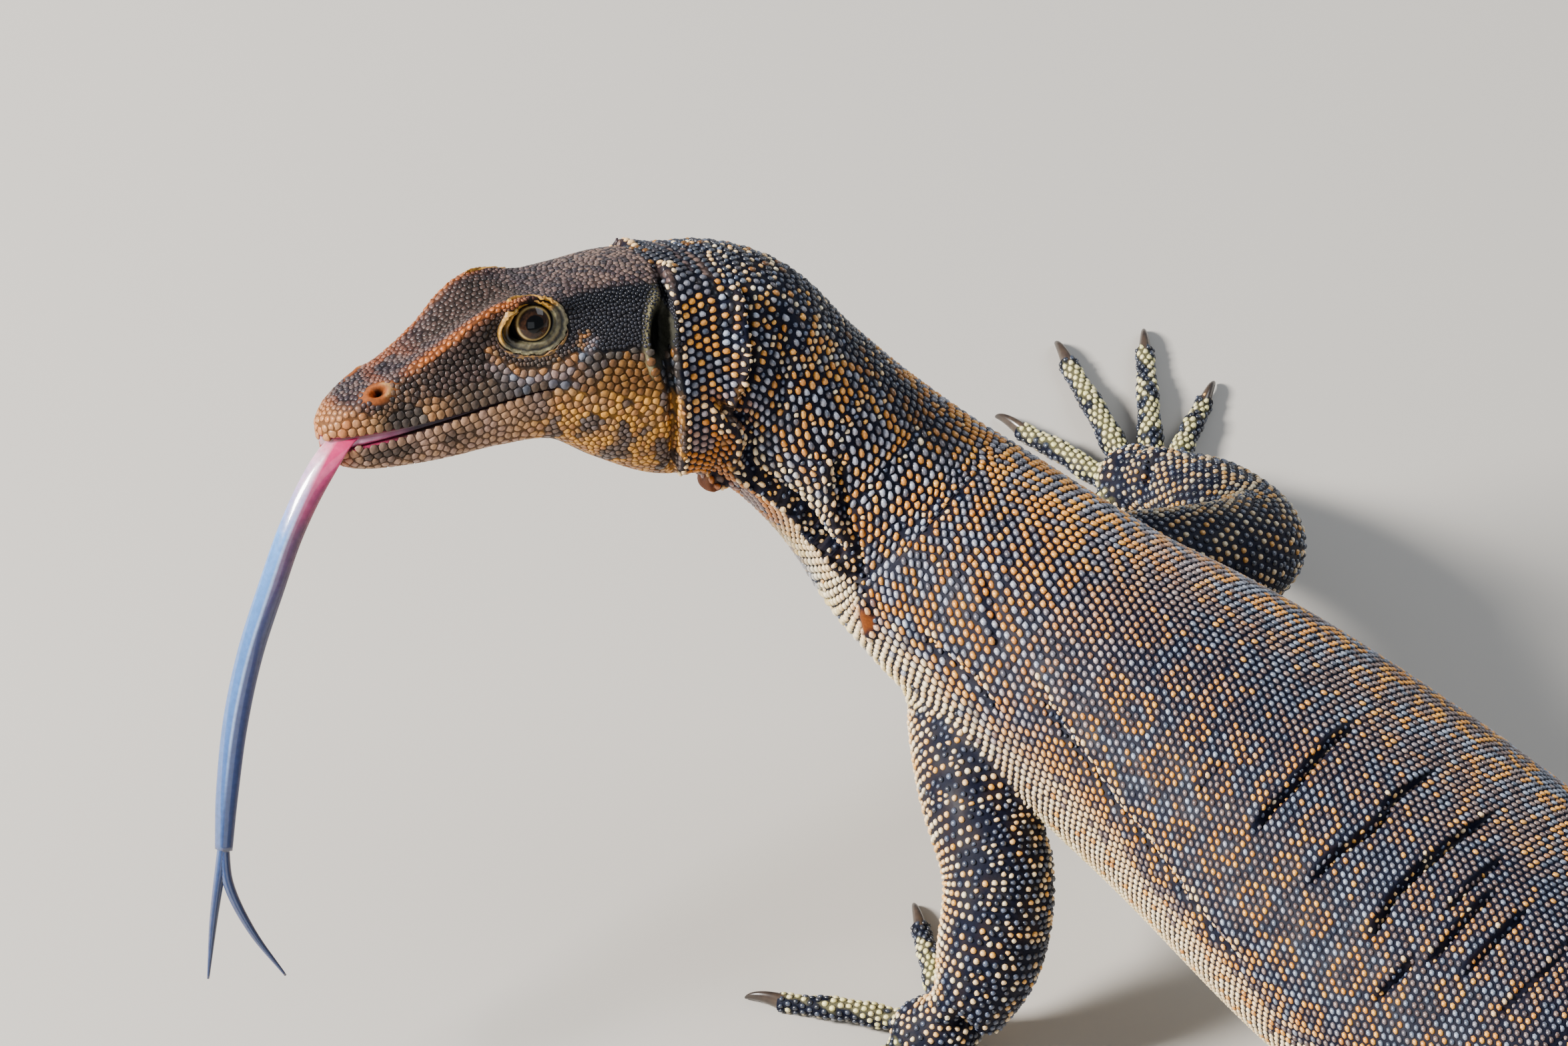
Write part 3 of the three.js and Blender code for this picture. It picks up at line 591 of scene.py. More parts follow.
@dataclass
class LegPlan:
    """One leg: its middle line with radii, its palm and its digits.

    Attributes:
        hand: the side that it is on.
        parts: kinds of its three lengths, which name their frame nodes.
        path: rows of [x, y, z, radius] from shoulder or hip to wrist or ankle.
        palm_at: middle of the palm.
        palm: its length, width and height.
        facing: heading of the palm, degrees from straight ahead outwards.
        digits: rows of [heading, reach, radius].
    """

    hand: Hand
    parts: tuple
    path: tuple
    palm_at: tuple
    palm: tuple
    facing: float
    digits: tuple

    def nodes(self) -> list[str]:
        """Frame nodes of its three lengths."""
        return [self.hand.called(part) for part in self.parts]

    def claw(self, number: int) -> str:
        """Frame node of one claw, counted from 1."""
        return f"{self.hand.called('claw_' + self.parts[-1])}_{number}"


ARM = ("upper_arm", "forearm", "hand")
LEG = ("thigh", "shin", "foot")
FORE_LEFT = LegPlan(
    Hand.LEFT, ARM,
    ((93, -25, 62, 13), (107, -38.5, 57, 12.6), (124.5, -50.5, 51, 12.2), (141, -58, 41, 11.8),
     (147.5, -66, 26, 11.2), (148, -72.5, 13, 8)),
    (142.6, -77.8, 6), (15, 9.5, 6.6), 55,
    ((-29, 27, 2.4), (35, 34, 2.4), (78, 40, 2.5), (100, 40, 2.4), (130, 28, 2.3)),
)
FORE_RIGHT = LegPlan(
    Hand.RIGHT, ARM,
    ((90, -4, 54, 13), (96, 18, 48, 13.2), (99, 41, 39, 12.8), (93.5, 57.5, 29, 12),
     (74, 64.5, 20, 11), (56, 66.5, 12.5, 8)),
    (45.4, 66.6, 6), (15, 9.5, 6.6), 20,
    ((-46, 25, 2.4), (-7, 31, 2.4), (20, 44, 2.5), (39, 44, 2.4), (59, 28, 2.3)),
)
HIND_LEFT = LegPlan(
    Hand.LEFT, LEG,
    ((398, -8, 46, 19), (386, -32, 48, 18.5), (372, -56, 50, 16.5), (364, -76, 48, 14.5),
     (374, -93, 34, 12.8), (390, -108, 17, 9.6)),
    (384, -118, 6.4), (21, 11, 7.2), 45,
    ((14, 35, 2.6), (31, 46, 2.9), (47, 56, 3), (62, 62, 2.9), (108, 36, 2.6)),
)
HIND_RIGHT = LegPlan(
    Hand.RIGHT, LEG,
    ((400, 20, 45, 19), (403, 42, 47, 18.5), (408, 63, 48, 16.5), (416, 82, 44, 14.5),
     (434, 94, 30, 12.8), (450, 99, 16, 9.6)),
    (446, 110, 6.4), (21, 11, 7.2), 62,
    ((31, 35, 2.6), (48, 46, 2.9), (64, 56, 3), (79, 62, 2.9), (122, 36, 2.6)),
)


class Tube:
    """A round tube along a line of stations, its frames carried along without twist."""

    def __init__(self, rows: Sequence[Sequence[float]], step: float = 0.5) -> None:
        """Measures the line and its frames.

        Args:
            rows: stations of [x, y, z, radius].
            step: distance between frames in millimetres.
        """
        self.line = measured(rows)
        self.length = float(self.line[-1, 0])
        self.places = np.linspace(0, self.length, int(self.length / step) + 2)
        self.centre, self.direction, sizes = station(self.line, self.places)
        self.radius = sizes[:, 0]
        across = np.empty_like(self.centre)
        carried = np.cross(self.direction[0], UP)
        for i, way in enumerate(self.direction):
            carried = unit(carried - way * (carried @ way))
            across[i] = carried
        self.across = across
        self.rise = np.cross(across, self.direction)

    def surface(self, place: Array, turn: Array, swell: float = 0.0) -> Array:
        """Places on the tube, the floor being its lowest level.

        Args:
            place: distances along the line.
            turn: places round it, 0.25 being its upper side.
            swell: how much the knuckles stand out, as a share of the radius.

        Returns:
            One place a row, in millimetres.
        """
        radius = np.interp(place, self.places, self.radius)
        share = place / self.length
        radius = radius * (1 + swell * (np.cos(share * 6 * np.pi) - 0.5))
        angle = 2 * np.pi * turn
        out = self.read(self.centre, place)
        out += self.read(self.across, place) * (radius * np.cos(angle))[:, None]
        out += self.read(self.rise, place) * (radius * np.sin(angle))[:, None]
        out[:, 2] = np.maximum(out[:, 2], CLEARANCE)
        return out

    def read(self, columns: Array, place: Array) -> Array:
        """Values of one of the tube's tables at places along it."""
        return np.column_stack([np.interp(place, self.places, c) for c in columns.T])


@dataclass
class LegShape:
    """The shapes of one leg, worked out from its plan."""

    plan: LegPlan
    digit_step: float = 3.8
    thumb_setback: float = 3.6
    palm_share: float = 0.62
    swell: float = 0.07
    knuckles: tuple = ((0.3, 1.4, 1.2), (0.6, 1.35, 1.0), (0.85, 0.84, 0.9), (1.0, 0.7, 0.82))

    def __post_init__(self) -> None:
        """Makes the leg's tubes and its digits' tubes."""
        plan = self.plan
        self.limb = Tube(plan.path)
        end = self.limb.centre[-1]
        radius = plan.path[-1][3]
        palm = np.array(plan.palm_at, float)
        middle = palm * 0.45 + end * 0.55
        self.stump = Tube([[*end, radius], [*middle, radius * 0.98], [*palm, plan.palm[2] * 0.9]])
        self.digits = [self.digit(i) for i in range(len(plan.digits))]

    def heading(self, degrees: float) -> Array:
        """Level direction at a heading from straight ahead, outwards."""
        a = math.radians(degrees)
        return np.array([-math.cos(a), -math.sin(a) * self.plan.hand.value, 0.0])

    def digit(self, number: int) -> Tube:
        """One digit, from inside the palm over its knuckles to its tip.

        Args:
            number: its place in the plan, 0 being the innermost.

        Returns:
            The digit's tube.
        """
        heading, reach, radius = self.plan.digits[number]
        way = self.heading(heading)
        root = np.array(self.plan.palm_at, float)
        root = root + self.heading(self.plan.facing + 90) * (number - 2) * self.digit_step
        if number == 0:
            root = root - self.heading(self.plan.facing) * self.thumb_setback
        root[2] = radius + 1
        rows = [[*root, radius * 1.3]]
        for share, lift, thick in self.knuckles:
            spot = root + way * reach * share
            rows.append([spot[0], spot[1], radius * lift, radius * thick])
        return Tube(rows)

    def palm_point(self, p: Array) -> Array:
        """Places on the palm.

        Args:
            p: places on a ball of radius one.

        Returns:
            One place a row.
        """
        length, width, height = self.plan.palm
        centre = np.array(self.plan.palm_at, float)
        way = centre - self.limb.centre[-1]
        way[2] = 0
        way = unit(way)
        across = np.cross(way, UP)
        out = (centre + way * p[:, :1] * length * self.palm_share + across * p[:, 1:2] * width
               + UP * p[:, 2:] * height)
        out[:, 2] = np.maximum(out[:, 2], CLEARANCE)
        return out


# Meshes


class Placing:
    """Turns the shapes' millimetres into the frame's metres."""

    def __init__(self, head: HeadShape, eye: "EyeShape") -> None:
        """Finds the shift between the two from the left eye's place.

        Args:
            head: the head's shape.
            eye: the shape of the eyes in it.
        """
        low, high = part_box("eye_left")
        self.shift = np.array((low + high) / 2) / MM - head.point(eye.back, eye.side, eye.up)

    def metres(self, points: Array) -> Array:
        """Places in metres in the frame."""
        return (points + self.shift) * MM

    def piece(self, name: str, points: Array, faces: Sequence[Array]) -> Piece:
        """A new object from points in millimetres."""
        return new_piece(name, self.metres(points), faces)

    def solid(self, name: str, rings: Array) -> tuple[Piece, Array]:
        """A new closed object over rings in millimetres, and its points."""
        points, faces = closed_loft(rings)
        return self.piece(name, points, faces), points


def new_piece(name: str, points: Array, faces: Sequence[Array]) -> Piece:
    """An object, shaded smooth and linked to the scene.

    Args:
        name: name of the object and its mesh.
        points: places in metres.
        faces: arrays of point numbers, each with one face a row.

    Returns:
        The object.
    """
    mesh = bpy.data.meshes.new(name)
    mesh.vertices.add(len(points))
    mesh.vertices.foreach_set("co", np.ascontiguousarray(points, np.float32).ravel())
    corners = np.concatenate([f.ravel() for f in faces]).astype(np.int32)
    counts = np.concatenate([np.full(len(f), f.shape[1]) for f in faces])
    mesh.loops.add(len(corners))
    mesh.loops.foreach_set("vertex_index", corners)
    mesh.polygons.add(len(counts))
    starts = np.concatenate([[0], np.cumsum(counts)[:-1]]).astype(np.int32)
    mesh.polygons.foreach_set("loop_start", starts)
    mesh.update(calc_edges=True)
    mesh.shade_smooth()
    piece = bpy.data.objects.new(name, mesh)
    bpy.context.scene.collection.objects.link(piece)
    return piece


def finished(piece: Piece, tint: Array, finish: Finish, slot: str, *nodes: str) -> Piece:
    """Paints a piece, gives it its finish, sets it on the frame and reports it.

    Args:
        piece: the piece.
        tint: one linear colour for each point.
        finish: its material.
        slot: not used.
        nodes: frame nodes that it stands for.

    Returns:
        The same piece.
    """
    layer = piece.data.color_attributes.new("tint", "FLOAT_COLOR", "POINT")
    full = np.column_stack([tint, np.ones(len(tint))]).astype(np.float32)
    layer.data.foreach_set("color", full.ravel())
    piece.data.materials.clear()
    piece.data.materials.append(finish)
    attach(piece, BODY)
    if nodes:
        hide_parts(*nodes)
    log.info("%s: %d points", piece.name, len(tint))
    return piece


def grid_faces(rings: int, sides: int) -> Array:
    """Four-sided faces between rings of equal count.

    Args:
        rings: number of rings.
        sides: number of points in each.

    Returns:
        Point numbers, one face a row, facing out where the rings run round left-handed.
    """
    i, j = np.meshgrid(np.arange(rings - 1), np.arange(sides), indexing="ij")
    a = i * sides + j
    b = i * sides + (j + 1) % sides
    return np.stack([a, b, b + sides, a + sides], -1).reshape(-1, 4)


def facing_out(points: Array, faces: list[Array]) -> list[Array]:
    """The faces of a closed skin, turned over where they face in.

    Args:
        points: the skin's points.
        faces: arrays of faces that all run the same way.

    Returns:
        The arrays of faces.
    """
    centred = points - points.mean(0)
    total = 0.0
    for f in faces:
        for k in range(1, f.shape[1] - 1):
            a, b, c = centred[f[:, 0]], centred[f[:, k]], centred[f[:, k + 1]]
            total += float(np.einsum("ij,ij->i", a, np.cross(b, c)).sum())
    return [f[:, ::-1] for f in faces] if total < 0 else faces


def closed_loft(rings: Array) -> tuple[Array, list[Array]]:
    """A skin over rings, closed by a fan at each end.

    Args:
        rings: array of ring, side and coordinate.

    Returns:
        The points, and the arrays of faces.
    """
    count, sides = rings.shape[:2]
    points = np.concatenate([rings.reshape(-1, 3), [rings[0].mean(0)], [rings[-1].mean(0)]])
    j = np.arange(sides)
    after = (j + 1) % sides
    start = np.stack([after, j, np.full(sides, count * sides)], -1)
    base = (count - 1) * sides
    end = np.stack([base + j, base + after, np.full(sides, count * sides + 1)], -1)
    return points, facing_out(points, [grid_faces(count, sides), start, end])


def closed_band(rings: Array) -> tuple[Array, list[Array]]:
    """A skin over rings, the last of which joins the first.

    Args:
        rings: array of ring, side and coordinate.

    Returns:
        The points, and the arrays of faces.
    """
    count, sides = rings.shape[:2]
    points = rings.reshape(-1, 3)
    return points, facing_out(points, [grid_faces(count + 1, sides) % (count * sides)])


class Join(Enum):
    """How one solid is joined to another."""

    UNION = "UNION"
    CUT = "DIFFERENCE"


def joined(base: Piece, tools: Sequence[Piece], how: Join) -> bpy.types.Mesh:
    """The mesh of a solid with other solids added or cut away, which are then removed.

    Args:
        base: the solid that is kept.
        tools: the other solids.
        how: whether they are added or cut away.

    Returns:
        The new mesh.
    """
    group = bpy.data.collections.new("join")
    for tool in tools:
        group.objects.link(tool)
    step = base.modifiers.new("join", "BOOLEAN")
    step.operation = how.value
    step.operand_type = "COLLECTION"
    step.collection = group
    step.solver = "MANIFOLD"
    depsgraph = bpy.context.evaluated_depsgraph_get()
    mesh = bpy.data.meshes.new_from_object(base.evaluated_get(depsgraph))
    base.modifiers.clear()
    for tool in tools:
        bpy.data.objects.remove(tool)
    bpy.data.collections.remove(group)
    mesh.shade_smooth()
    return mesh


def read_points(mesh: bpy.types.Mesh) -> Array:
    """Reads a mesh.

    Args:
        mesh: the mesh.

    Returns:
        Places of its points in metres.
    """
    co = np.empty(len(mesh.vertices) * 3, np.float32)
    mesh.vertices.foreach_get("co", co)
    return co.reshape(-1, 3).astype(float)


def tree_of(points: Array) -> KDTree:
    """A tree for finding the nearest of many places.

    Args:
        points: the places, one a row.

    Returns:
        The tree.
    """
    tree = KDTree(len(points))
    for i, p in enumerate(points):
        tree.insert(p, i)
    tree.balance()
    return tree


# Finishes


class Sheet:
    """A material's nodes, laid out by short calls."""

    def __init__(self, name: str) -> None:
        """Starts a material with its shader and output.

        Args:
            name: name of the material.
        """
        self.material = bpy.data.materials.new(name)
        self.material.use_nodes = True
        self.tree = self.material.node_tree
        self.shader = self.tree.nodes["Principled BSDF"]

    def node(self, kind: str, links: Optional[dict] = None, **values: float) -> bpy.types.Node:
        """A node with its settings and the sockets that feed it.

        Args:
            kind: Blender's name of the node type.
            links: input socket names with the output sockets that feed them.
            values: properties of the node, or input sockets written with _ for a space.

        Returns:
            The node.
        """
        made = self.tree.nodes.new(kind)
        for key, value in values.items():
            if hasattr(made, key):
                setattr(made, key, value)
            else:
                made.inputs[key.replace("_", " ")].default_value = value
        for key, socket in (links or {}).items():
            self.tree.links.new(socket, made.inputs[key])
        return made

    def feed(self, name: str, socket: bpy.types.NodeSocket) -> None:
        """Links a socket to one of the shader's inputs."""
        self.tree.links.new(socket, self.shader.inputs[name])

    def set(self, **values: float) -> None:
        """Sets plain values on the shader's own sockets, with _ for a space."""
        for key, value in values.items():
            self.shader.inputs[key.replace("_", " ")].default_value = value

    def noise(self, scale: float) -> bpy.types.NodeSocket:
        """Noise over the object's own space, its scale counted per metre."""
        place = self.node("ShaderNodeTexCoord").outputs["Object"]
        return self.node("ShaderNodeTexNoise", {"Vector": place}, Scale=scale, Detail=3.0).outputs["Fac"]

    def ranged(self, socket: bpy.types.NodeSocket, low: float, high: float) -> bpy.types.NodeSocket:
        """A value from 0.3 to 0.7 spread from low to high."""
        made = self.node("ShaderNodeMapRange", {"Value": socket}, From_Min=0.3, From_Max=0.7,
                         To_Min=low, To_Max=high)
        return made.outputs["Result"]

    def painted(self, noise: bpy.types.NodeSocket, low: float, high: float) -> None:
        """Feeds the painted colour, darkened and lightened by noise, to the shader.

        Args:
            noise: the noise.
            low: least brightness, 1 being unchanged.
            high: greatest brightness.
        """
        tint = self.node("ShaderNodeAttribute", attribute_name="tint").outputs["Color"]
        links = {"Color": tint, "Value": self.ranged(noise, low, high)}
        self.feed("Base Color", self.node("ShaderNodeHueSaturation", links).outputs["Color"])

    def bumped(self, socket: bpy.types.NodeSocket, strength: float, depth: float) -> None:
        """Raises the surface by a value."""
        made = self.node("ShaderNodeBump", {"Height": socket}, Strength=strength, Distance=depth)
        self.feed("Normal", made.outputs["Normal"])


@dataclass(frozen=True)
class HornyFinish:
    """Painted keratin: scales, skin, lids and claws.

    Attributes:
        name: name of the material.
        gloss: least and most roughness.
        grain: size of the fine grain, counted per metre.
        relief: strength of the bump.
        coat: weight of the thin clear layer.
        soft: share of light that enters the skin.
        shine: strength of the reflection, 0.5 as usual.
    """

    name: str
    gloss: tuple = (0.3, 0.5)
    grain: float = 1400.0
    relief: float = 0.25
    coat: float = 0.15
    soft: float = 0.0
    shine: float = 0.5

    def material(self) -> Finish:
        """The finished material."""
        sheet = Sheet(self.name)
        fine = sheet.noise(self.grain)
        broad = sheet.noise(self.grain * 0.12)
        sheet.painted(fine, 0.78, 1.2)
        sheet.feed("Roughness", sheet.ranged(broad, *self.gloss))
        sheet.bumped(fine, self.relief, 0.00012)
        sheet.set(Coat_Weight=self.coat, Coat_Roughness=0.18, Subsurface_Weight=self.soft,
                  Subsurface_Scale=0.002, Specular_IOR_Level=self.shine)
        return sheet.material


@dataclass(frozen=True)
class WetFinish:
    """Painted wet flesh or a glassy eye.

    Attributes:
        name: name of the material.
        roughness: roughness of the flesh under the wet film.
        coat: weight of the wet film.
        soft: share of light that enters.
        relief: strength of the bump.
        shine: strength of the reflection, 0.5 as usual.
    """

    name: str
    roughness: float = 0.3
    coat: float = 1.0
    soft: float = 0.2
    relief: float = 0.15
    shine: float = 0.5

    def material(self) -> Finish:
        """The finished material."""
        sheet = Sheet(self.name)
        fine = sheet.noise(900.0)
        sheet.painted(fine, 0.85, 1.12)
        sheet.bumped(fine, self.relief, 0.0001)
        sheet.set(Roughness=self.roughness, Coat_Weight=self.coat, Coat_Roughness=0.03,
                  Subsurface_Weight=self.soft, Subsurface_Scale=0.002, Specular_IOR_Level=self.shine)
        return sheet.material


@dataclass(frozen=True)
class FloorFinish:
    """A matt pale floor.

    Attributes:
        name: name of the material.
        colour: its pale colour.
    """

    name: str = "floor_matt"
    colour: str = "c3beb6"

    def material(self) -> Finish:
        """The finished material."""
        sheet = Sheet(self.name)
        ramp = sheet.node("ShaderNodeMixRGB", {"Fac": sheet.noise(3.0)})
        ramp.inputs["Color1"].default_value = (*linear(self.colour) * 0.97, 1)
        ramp.inputs["Color2"].default_value = (*linear(self.colour), 1)
        sheet.feed("Base Color", ramp.outputs["Color"])
        sheet.set(Roughness=0.85)
        return sheet.material


# Colours and markings


class Paint:
    """The animal's colours."""

    night = linear("0b0e18")
    slate = linear("57627a")
    ash = linear("8b95a6")
    steel = linear("4c6076")
    # Pale blue for painted glints on dark beads
    frost = linear("b9c4d8")
    violet = linear("3d3843")
    plum = linear("54424a")
    flesh = linear("a58478")
    clay = linear("6b5f55")
    bark = linear("2b221e")
    umber = linear("54403a")
    dust = linear("83695c")
    tan = linear("a37a50")
    russet = linear("b05a1e")
    ochre = linear("a8661f")
    amber = linear("d27c1c")
    gold = linear("f0a935")
    straw = linear("dcc27a")
    lime = linear("e4dc90")
    cream = linear("f6e6be")


@dataclass
class Markings:
    """Where each colour lies on the animal.

    Every scale draws three even random numbers, r1, r2 and r3. They decide how light it is,
    which of two near colours it has and whether it belongs to a patch of colour.
    """

    seed: int = 7
    row_gap: float = 12.5
    spot_gap: float = 11.5
    ring_radius: float = 3.3
    ring_width: float = 1.15
    bar_gap: float = 21.0
    tail_gap: float = 46.0
    pale_line: tuple = ((88, 103, 118, 132, 145, 167, 185), (0.63, 0.64, 0.66, 0.63, 0.57, 0.6, 0.56))

    def draws(self, count: int, salt: int) -> list[Array]:
        """Three lists of even random numbers from 0 to 1, the same at each run."""
        return [np.random.default_rng(self.seed * 1000 + salt + k).random(count) for k in range(3)]

    def rosettes(self, reach: Array, arc: Array) -> tuple[Array, Array]:
        """How strongly the rings of golden scales and their middles show.

        Args:
            reach: distance back along the body.
            arc: distance round from the middle of the back.

        Returns:
            Strength of the ring, and of the spot inside it.
        """
        ring, inside = np.zeros(len(reach)), np.zeros(len(reach))
        for step_row, step_spot in np.ndindex(3, 3):
            row = np.round(reach / self.row_gap) + step_row - 1
            shift = 0.5 * (row % 2)
            spot = np.round(arc / self.spot_gap - shift) + step_spot - 1
            h1, h2, h3, h4, h5 = (lattice_hash(np.column_stack([row, spot]), k) for k in range(1, 6))
            radius = self.ring_radius * (0.7 + 0.5 * h3)
            long_gap = (reach - row * self.row_gap - (h1 - 0.5) * 6) * (0.85 + 0.3 * h5)
            away = np.hypot(long_gap, arc - (spot + shift) * self.spot_gap - (h2 - 0.5) * 5)
            there = h4 < 0.9
            ring = np.maximum(ring, there * bump(away - radius, 0, self.ring_width))
            inside = np.maximum(inside, there * smooth(radius, radius * 0.4, away))
        return ring, inside

    def bars(self, reach: Array, drift: Array, gap: float) -> Array:
        """Waves from 0 to 1 down the body, a gap apart and bent by noise."""
        return 0.5 + 0.5 * np.cos(2 * np.pi * (reach + drift) / gap)

    def body(self, reach: Array, arc: Array, turn: Array, place: Array, edge: Array) -> Array:
        """Colours of the scales of neck, trunk and tail.

        Args:
            reach: distances back.
            arc: distances round from the middle of the back.
            turn: places round the body.
            place: places of the scales.
            edge: how close each is to the edge of a fold.

        Returns:
            One colour a row.
        """
        r1, r2, r3 = self.draws(len(reach), 1)
        low = lowness(turn)
        drift, broad = cloud(place, 9, 5), cloud(place, 26, 6)
        trunk, tail = smooth(196, 232, reach), smooth(540, 600, reach)
        neck = 1 - trunk
        dark = blend(Paint.slate * 0.35, Paint.ash, 0.1 + 0.9 * r1**1.5 * (0.4 + 0.6 * drift))
        # Painted highlight: about half the dark beads off the middle of the back are turned partly pale blue
        # as glints, most on the neck
        glint_share = (r2 > 0.45) * (0.35 + 0.3 * smooth(250, 190, reach)) * smooth(0.06, 0.2, low)
        dark = mix(dark, Paint.frost, glint_share)
        dusty = blend(Paint.umber, Paint.dust, r2)
        gold = blend(Paint.amber, Paint.gold, 0.3 + 0.7 * r2)
        pale = blend(Paint.gold, Paint.cream, 0.5 + 0.5 * r2)
        ground = mix(dark, dusty, smooth(0.38, 0.56, 0.5 * drift + 0.5 * r3) * (0.3 + 0.6 * trunk))
        ring, inside = self.rosettes(reach, arc)
        shown = trunk * smooth(0.02, 0.1, low) * (0.6 + 0.4 * smooth(0.1, 0.2, low))
        # The top of the neck is painted darker: partly its own dark saddle, partly painted shade
        nape = smooth(0.2, 0.06, low) * smooth(0.35, 0.6, 0.5 * broad + 0.5 * smooth(150, 100, reach))
        speckle = neck * (r3 < 0.5 - 0.36 * nape + 0.16 * (broad - 0.5))
        under_neck = neck * smooth(0.48, 0.58, low) * smooth(112, 130, reach)
        flank = smooth(0.32, 0.46, low + 0.16 * (drift - 0.5)) * trunk
        share = 0.3 + 0.6 * smooth(0.34, 0.54, low) - 0.5 * smooth(0.5, 0.7, broad) * smooth(0.66, 0.56, low)
        line = np.interp(reach, *self.pale_line)
        chest = bump(low, line + 0.03, 0.12) * smooth(84, 96, reach) * smooth(205, 170, reach)
        wave = self.bars(reach, 5 * (drift - 0.5), self.tail_gap)
        # Russet on the flaps under the throat and before the arm: partly their own colour, partly a painted
        # glow of light through the thin skin
        flap = bump(reach, 113.5, 3.5) * smooth(0.74, 0.8, low) * smooth(0.96, 0.9, low)
        flap = np.maximum(flap, bump(reach, 165, 4.5) * bump(low, 0.545, 0.045)) * (turn < 0.5)
        throat = blend(Paint.amber, Paint.ochre, r1)
        throat = mix(throat, Paint.ash * 0.6, (cloud(place, 6, 8) > 0.55) * 0.7)
        belly = mix(self.belly(reach, low, drift, dark, r1), throat, smooth(150, 118, reach))
        return layered(
            ground,
            (gold, shown * (ring > 0.32 + 0.45 * r1) * 0.95),
            (dusty, trunk * (inside > 0.3) * (r1 < 0.6) * 0.7),
            (gold, (r3 > 0.9) * trunk * 0.8),
            (mix(gold, Paint.ochre, 0.45 * r1), speckle * 0.95),
            # Near black on the top of the neck, partly its own colour and partly painted shade
            (Paint.night, neck * nape * 0.8),
            (pale, under_neck * (r3 < 0.92)),
            (mix(gold, pale, smooth(0.42, 0.56, low)), flank * (r3 < share)),
            (pale, (chest + 0.5 * (drift - 0.5) > 0.18 + 0.7 * r3) * 0.95),
            (dark, tail * 0.8),
            (mix(gold, pale, 0.5), tail * (wave > 0.62 + 0.25 * r3) * (low > 0.05)),
            (gold, tail * (r3 > 0.94) * 0.8),
            (belly, smooth(0.6, 0.7, low) * (1 - 0.4 * tail)),
            (throat, smooth(0.5, 0.62, low) * smooth(108, 98, reach) * smooth(80, 86, reach)),
            # Pale scales on the edges of folds: partly their own colour, partly a painted highlight
            (mix(pale, gold, 0.3), (edge > 0.2 + 0.6 * r3) * 0.95),
            # The flaps: partly their own colour, partly a painted glow
            (Paint.russet, flap * 0.9),
        )

    def belly(self, reach: Array, low: Array, drift: Array, dark: Array, r1: Array) -> Array:
        """Colours of the belly: pale, with dark bars that fade towards its middle.

        Args:
            reach: distances back.
            low: how low each scale lies.
            drift: soft noise from 0 to 1.
            dark: the dark colour of each scale.
            r1: an even random number for each.

        Returns:
            One colour a row.
        """
        bar = smooth(0.5, 0.8, self.bars(reach, 8 * (drift - 0.5), self.bar_gap))
        pale = blend(Paint.straw, Paint.cream, r1) * 1.1
        return mix(pale, dark, bar * smooth(1.0, 0.78, low) * smooth(0.66, 0.76, low) * 0.85)

    def leg(self, place: Array, top: Array, front: Array, toe: bool) -> Array:
        """Colours of the scales of a leg.

        Args:
            place: places of the scales.
            top: how far each faces up, from -1 to 1.
            front: how far each faces the snout, from -1 to 1.
            toe: whether they are on a digit.

        Returns:
            One colour a row.
        """
        r1, r2, r3 = self.draws(len(place), 11)
        dark = blend(Paint.night, Paint.slate, 0.15 + 0.85 * r1**1.5)
        gold = blend(Paint.gold, Paint.cream, r2)
        facing = 0.55 * smooth(0.05, 0.4, front) - 0.25 * smooth(-0.2, -0.8, front)
        share = 0.5 + 0.3 * (cloud(place, 7, 15) - 0.5) + facing
        if toe:
            dark = dark * 0.5
            gold = blend(Paint.lime, Paint.cream, 0.5 * r2)
            share = 0.1 + 0.9 * smooth(0.1, 0.7, top) * smooth(0.34, 0.5, cloud(place, 3.4, 16))
        sole = blend(Paint.straw, Paint.ash, 0.3 + 0.5 * r1)
        return layered(dark, (gold, (r3 < share) * 0.95), (sole, smooth(-0.5, -0.9, top) * 0.8))

    def head(self, own: Array, shape: HeadShape, eyes: "EyeShape") -> Array:
        """Colours of the scales of the head.

        Args:
            own: distances back, left and up of the scales.
            shape: the head's shape.
            eyes: the shape of its eyes.

        Returns:
            One colour a row.
        """
        back, side, up = own[:, 0], np.abs(own[:, 1]), own[:, 2]
        r1, r2, r3 = draws = self.draws(len(back), 21)
        drift, blotch, fine = cloud(own, 5, 25), cloud(own, 6, 26), cloud(own, 2.0, 27)
        brow_side, brow_up = shape.rail(Rail.BROW, back).T
        cheek_up = shape.rail(Rail.CHEEK, back)[:, 1] + 2.2 * (drift - 0.5)
        lip_up = shape.lip_height(back)
        fleck = smooth(0.4, 0.72, 0.55 * r1 + 0.45 * fine)
        below = smooth(brow_up + 0.2, brow_up - 1.4, up)
        # Dark brown below the brow: partly its own colour, partly painted shade under the brow ridge
        loreal = blend(Paint.bark, Paint.umber, 0.7 * r1)
        loreal = mix(loreal, Paint.tan, 0.25 * fleck * smooth(30, 18, back))
        crest = bump(up - brow_up, -0.5, 1.1) * bump(side - brow_side, 0, 1.3)
        crest = crest * smooth(18, 24, back) * smooth(54, 44, back)
        rear = smooth(51, 58, back) * below
        temple = smooth(brow_up - 4.6, brow_up - 3.2, up + 0.8 * (drift - 0.5))
        plates = self.cheek(back, up, cheek_up, blotch, draws)
        ring = eyes.away(own)
        lips = smooth(5.2, 3.6, up - lip_up) * smooth(30, 24, back)
        lip_tint = mix(blend(Paint.tan, Paint.russet, 0.3 * r1), Paint.clay, blotch > 0.55)
        grey = smooth(0.5, 0.62, cloud(own, 4.2, 28)) * smooth(11, 15, back)
        low = smooth(lip_up + 0.6, lip_up - 2.2, up)
        tip = smooth(13, 7, back) * smooth(lip_up + 7.5, lip_up + 4.5, up) * (1 - low)
